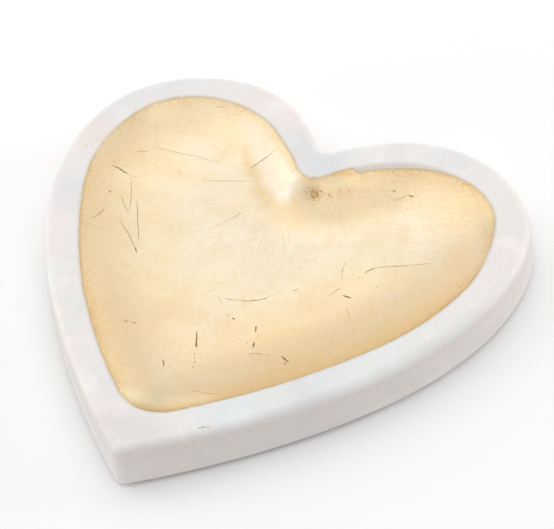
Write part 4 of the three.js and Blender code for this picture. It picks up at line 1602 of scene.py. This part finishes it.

# Tones on the leaf are stretches of painted highlight and painted shade
patches, stains, tones = (
    [(on_stone(first), on_stone(last), radius * MM, tint, amount)
     for first, last, radius, tint, amount in marks]
    for marks in (PATCH_PIXELS, STAIN_PIXELS, LEAF_LIGHT_AND_SHADE_PIXELS))
marble = honed_white_marble(patches, stains)
gold = laid_gold_leaf(
    [(on_stone(pixel), (on_stone(aim) - on_stone(pixel)).normalized(), reach * MM, spokes, bend,
      amount, seed) for pixel, aim, reach, spokes, bend, amount, seed in FAN_PIXELS],
    [((on_stone(first) + on_stone(last)) / 2, on_stone(last) - on_stone(first), reach * MM,
      width * MM, amount, seed) for first, last, reach, width, amount, seed in STROKE_PIXELS],
    tones,
    [(on_stone(pixel), radius * MM, amount) for pixel, radius, amount in RUB_PIXELS],
)
crumbs = torn_leaf_crumbs()
umber = bared_umber_size()
felt = pressed_wool_felt()

bowl_drop = bowl_drop_tree()
hollow_sizes = {"Hollow Depth": HOLLOW_DEPTH, "Lip Radius": LIP_RADIUS, "Wall Angle": WALL_ANGLE}

slab_piece = make_piece("marble_slab", slab_blank(), carve_slab_tree(bowl_drop), {
    **hollow_sizes,
    "Thickness": RIM_Z - BASE_Z,
    "Top Edge Radius": TOP_EDGE_RADIUS,
    "Bottom Edge Radius": BOTTOM_EDGE_RADIUS,
    "Bed Depth": LEAF_BED_DEPTH,
    "Bed Start": 1.0 * MM,
    "Bed End": 3.0 * MM,
    "Edge Variation": 0.4,
    "Wave Depth": 0.12 * MM,
    "Wave Spacing": 14 * MM,
    "Nick Place": on_stone(NICK_PIXEL),
    "Nick Radius": 0.9 * MM,
    "Nick Depth": 0.3 * MM,
    "Seed": 2.0,
    "Material": marble,
})
leaf_piece = make_piece("gold_leaf", leaf_sheet(), lay_leaf_tree(bowl_drop), {
    **hollow_sizes,
    "Rim Height": RIM_Z - BASE_Z,
    "Lift": LEAF_LIFT,
    "Thickness": LEAF_THICKNESS,
    "Under Sink": LEAF_UNDER_SINK,
    "Wrinkle Height": 0.05 * MM,
    "Wrinkle Spacing": 5 * MM,
    "Flat Edge": 2 * MM,
    "Seed": 5.0,
    "Material": gold,
})
leaf_surface = BVHTree.FromObject(leaf_piece, bpy.context.evaluated_depsgraph_get())
crack_piece = make_piece("leaf_cracks", crack_lines(leaf_surface), slivers_tree(), {
    "Flatness": 0.25,
    "Step": 0.25 * MM,
    "Grain": 0.5 * MM,
    "Thinnest": 0.5,
    "Seed": 1.0,
    "Material": umber,
})
crumb_piece = make_piece("leaf_crumbs", leaf_piece.data, leaf_crumbs_tree(), {
    "Edge Start": 0.25 * MM,
    "Edge Width": 2.2 * MM,
    "Density": 6 / MM ** 2,
    "Crumb Radius": 0.11 * MM,
    "Flatness": 0.2,
    "Seed": 3.0,
    "Material": crumbs,
})

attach(slab_piece, BODY)
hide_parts("marble_body")
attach(leaf_piece, BODY)
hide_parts("gold_leaf_lining")
for piece in (crack_piece, crumb_piece):
    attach(piece, BODY)

press_pad = press_pad_tree()
for seed, node in enumerate(("foot_pad_tip", "foot_pad_left", "foot_pad_right"), 1):
    low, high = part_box(node)
    pad_piece = make_piece(f"felt_{node}", pad_disc(node), press_pad, {
        "Lowest Fibre": low.z + 0.55 * MM,
        "Highest Fibre": high.z - 0.2 * MM,
        "Density": 14 / MM ** 2,
        "Fibre Length": 0.35 * MM,
        "Fibre Radius": 0.012 * MM,
        "Nap Depth": 0.08 * MM,
        "Nap Spacing": 0.5 * MM,
        "Seed": float(seed),
        "Material": felt,
    })
    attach(pad_piece, BODY)
    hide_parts(node)

bpy.context.view_layer.update()
low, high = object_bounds()
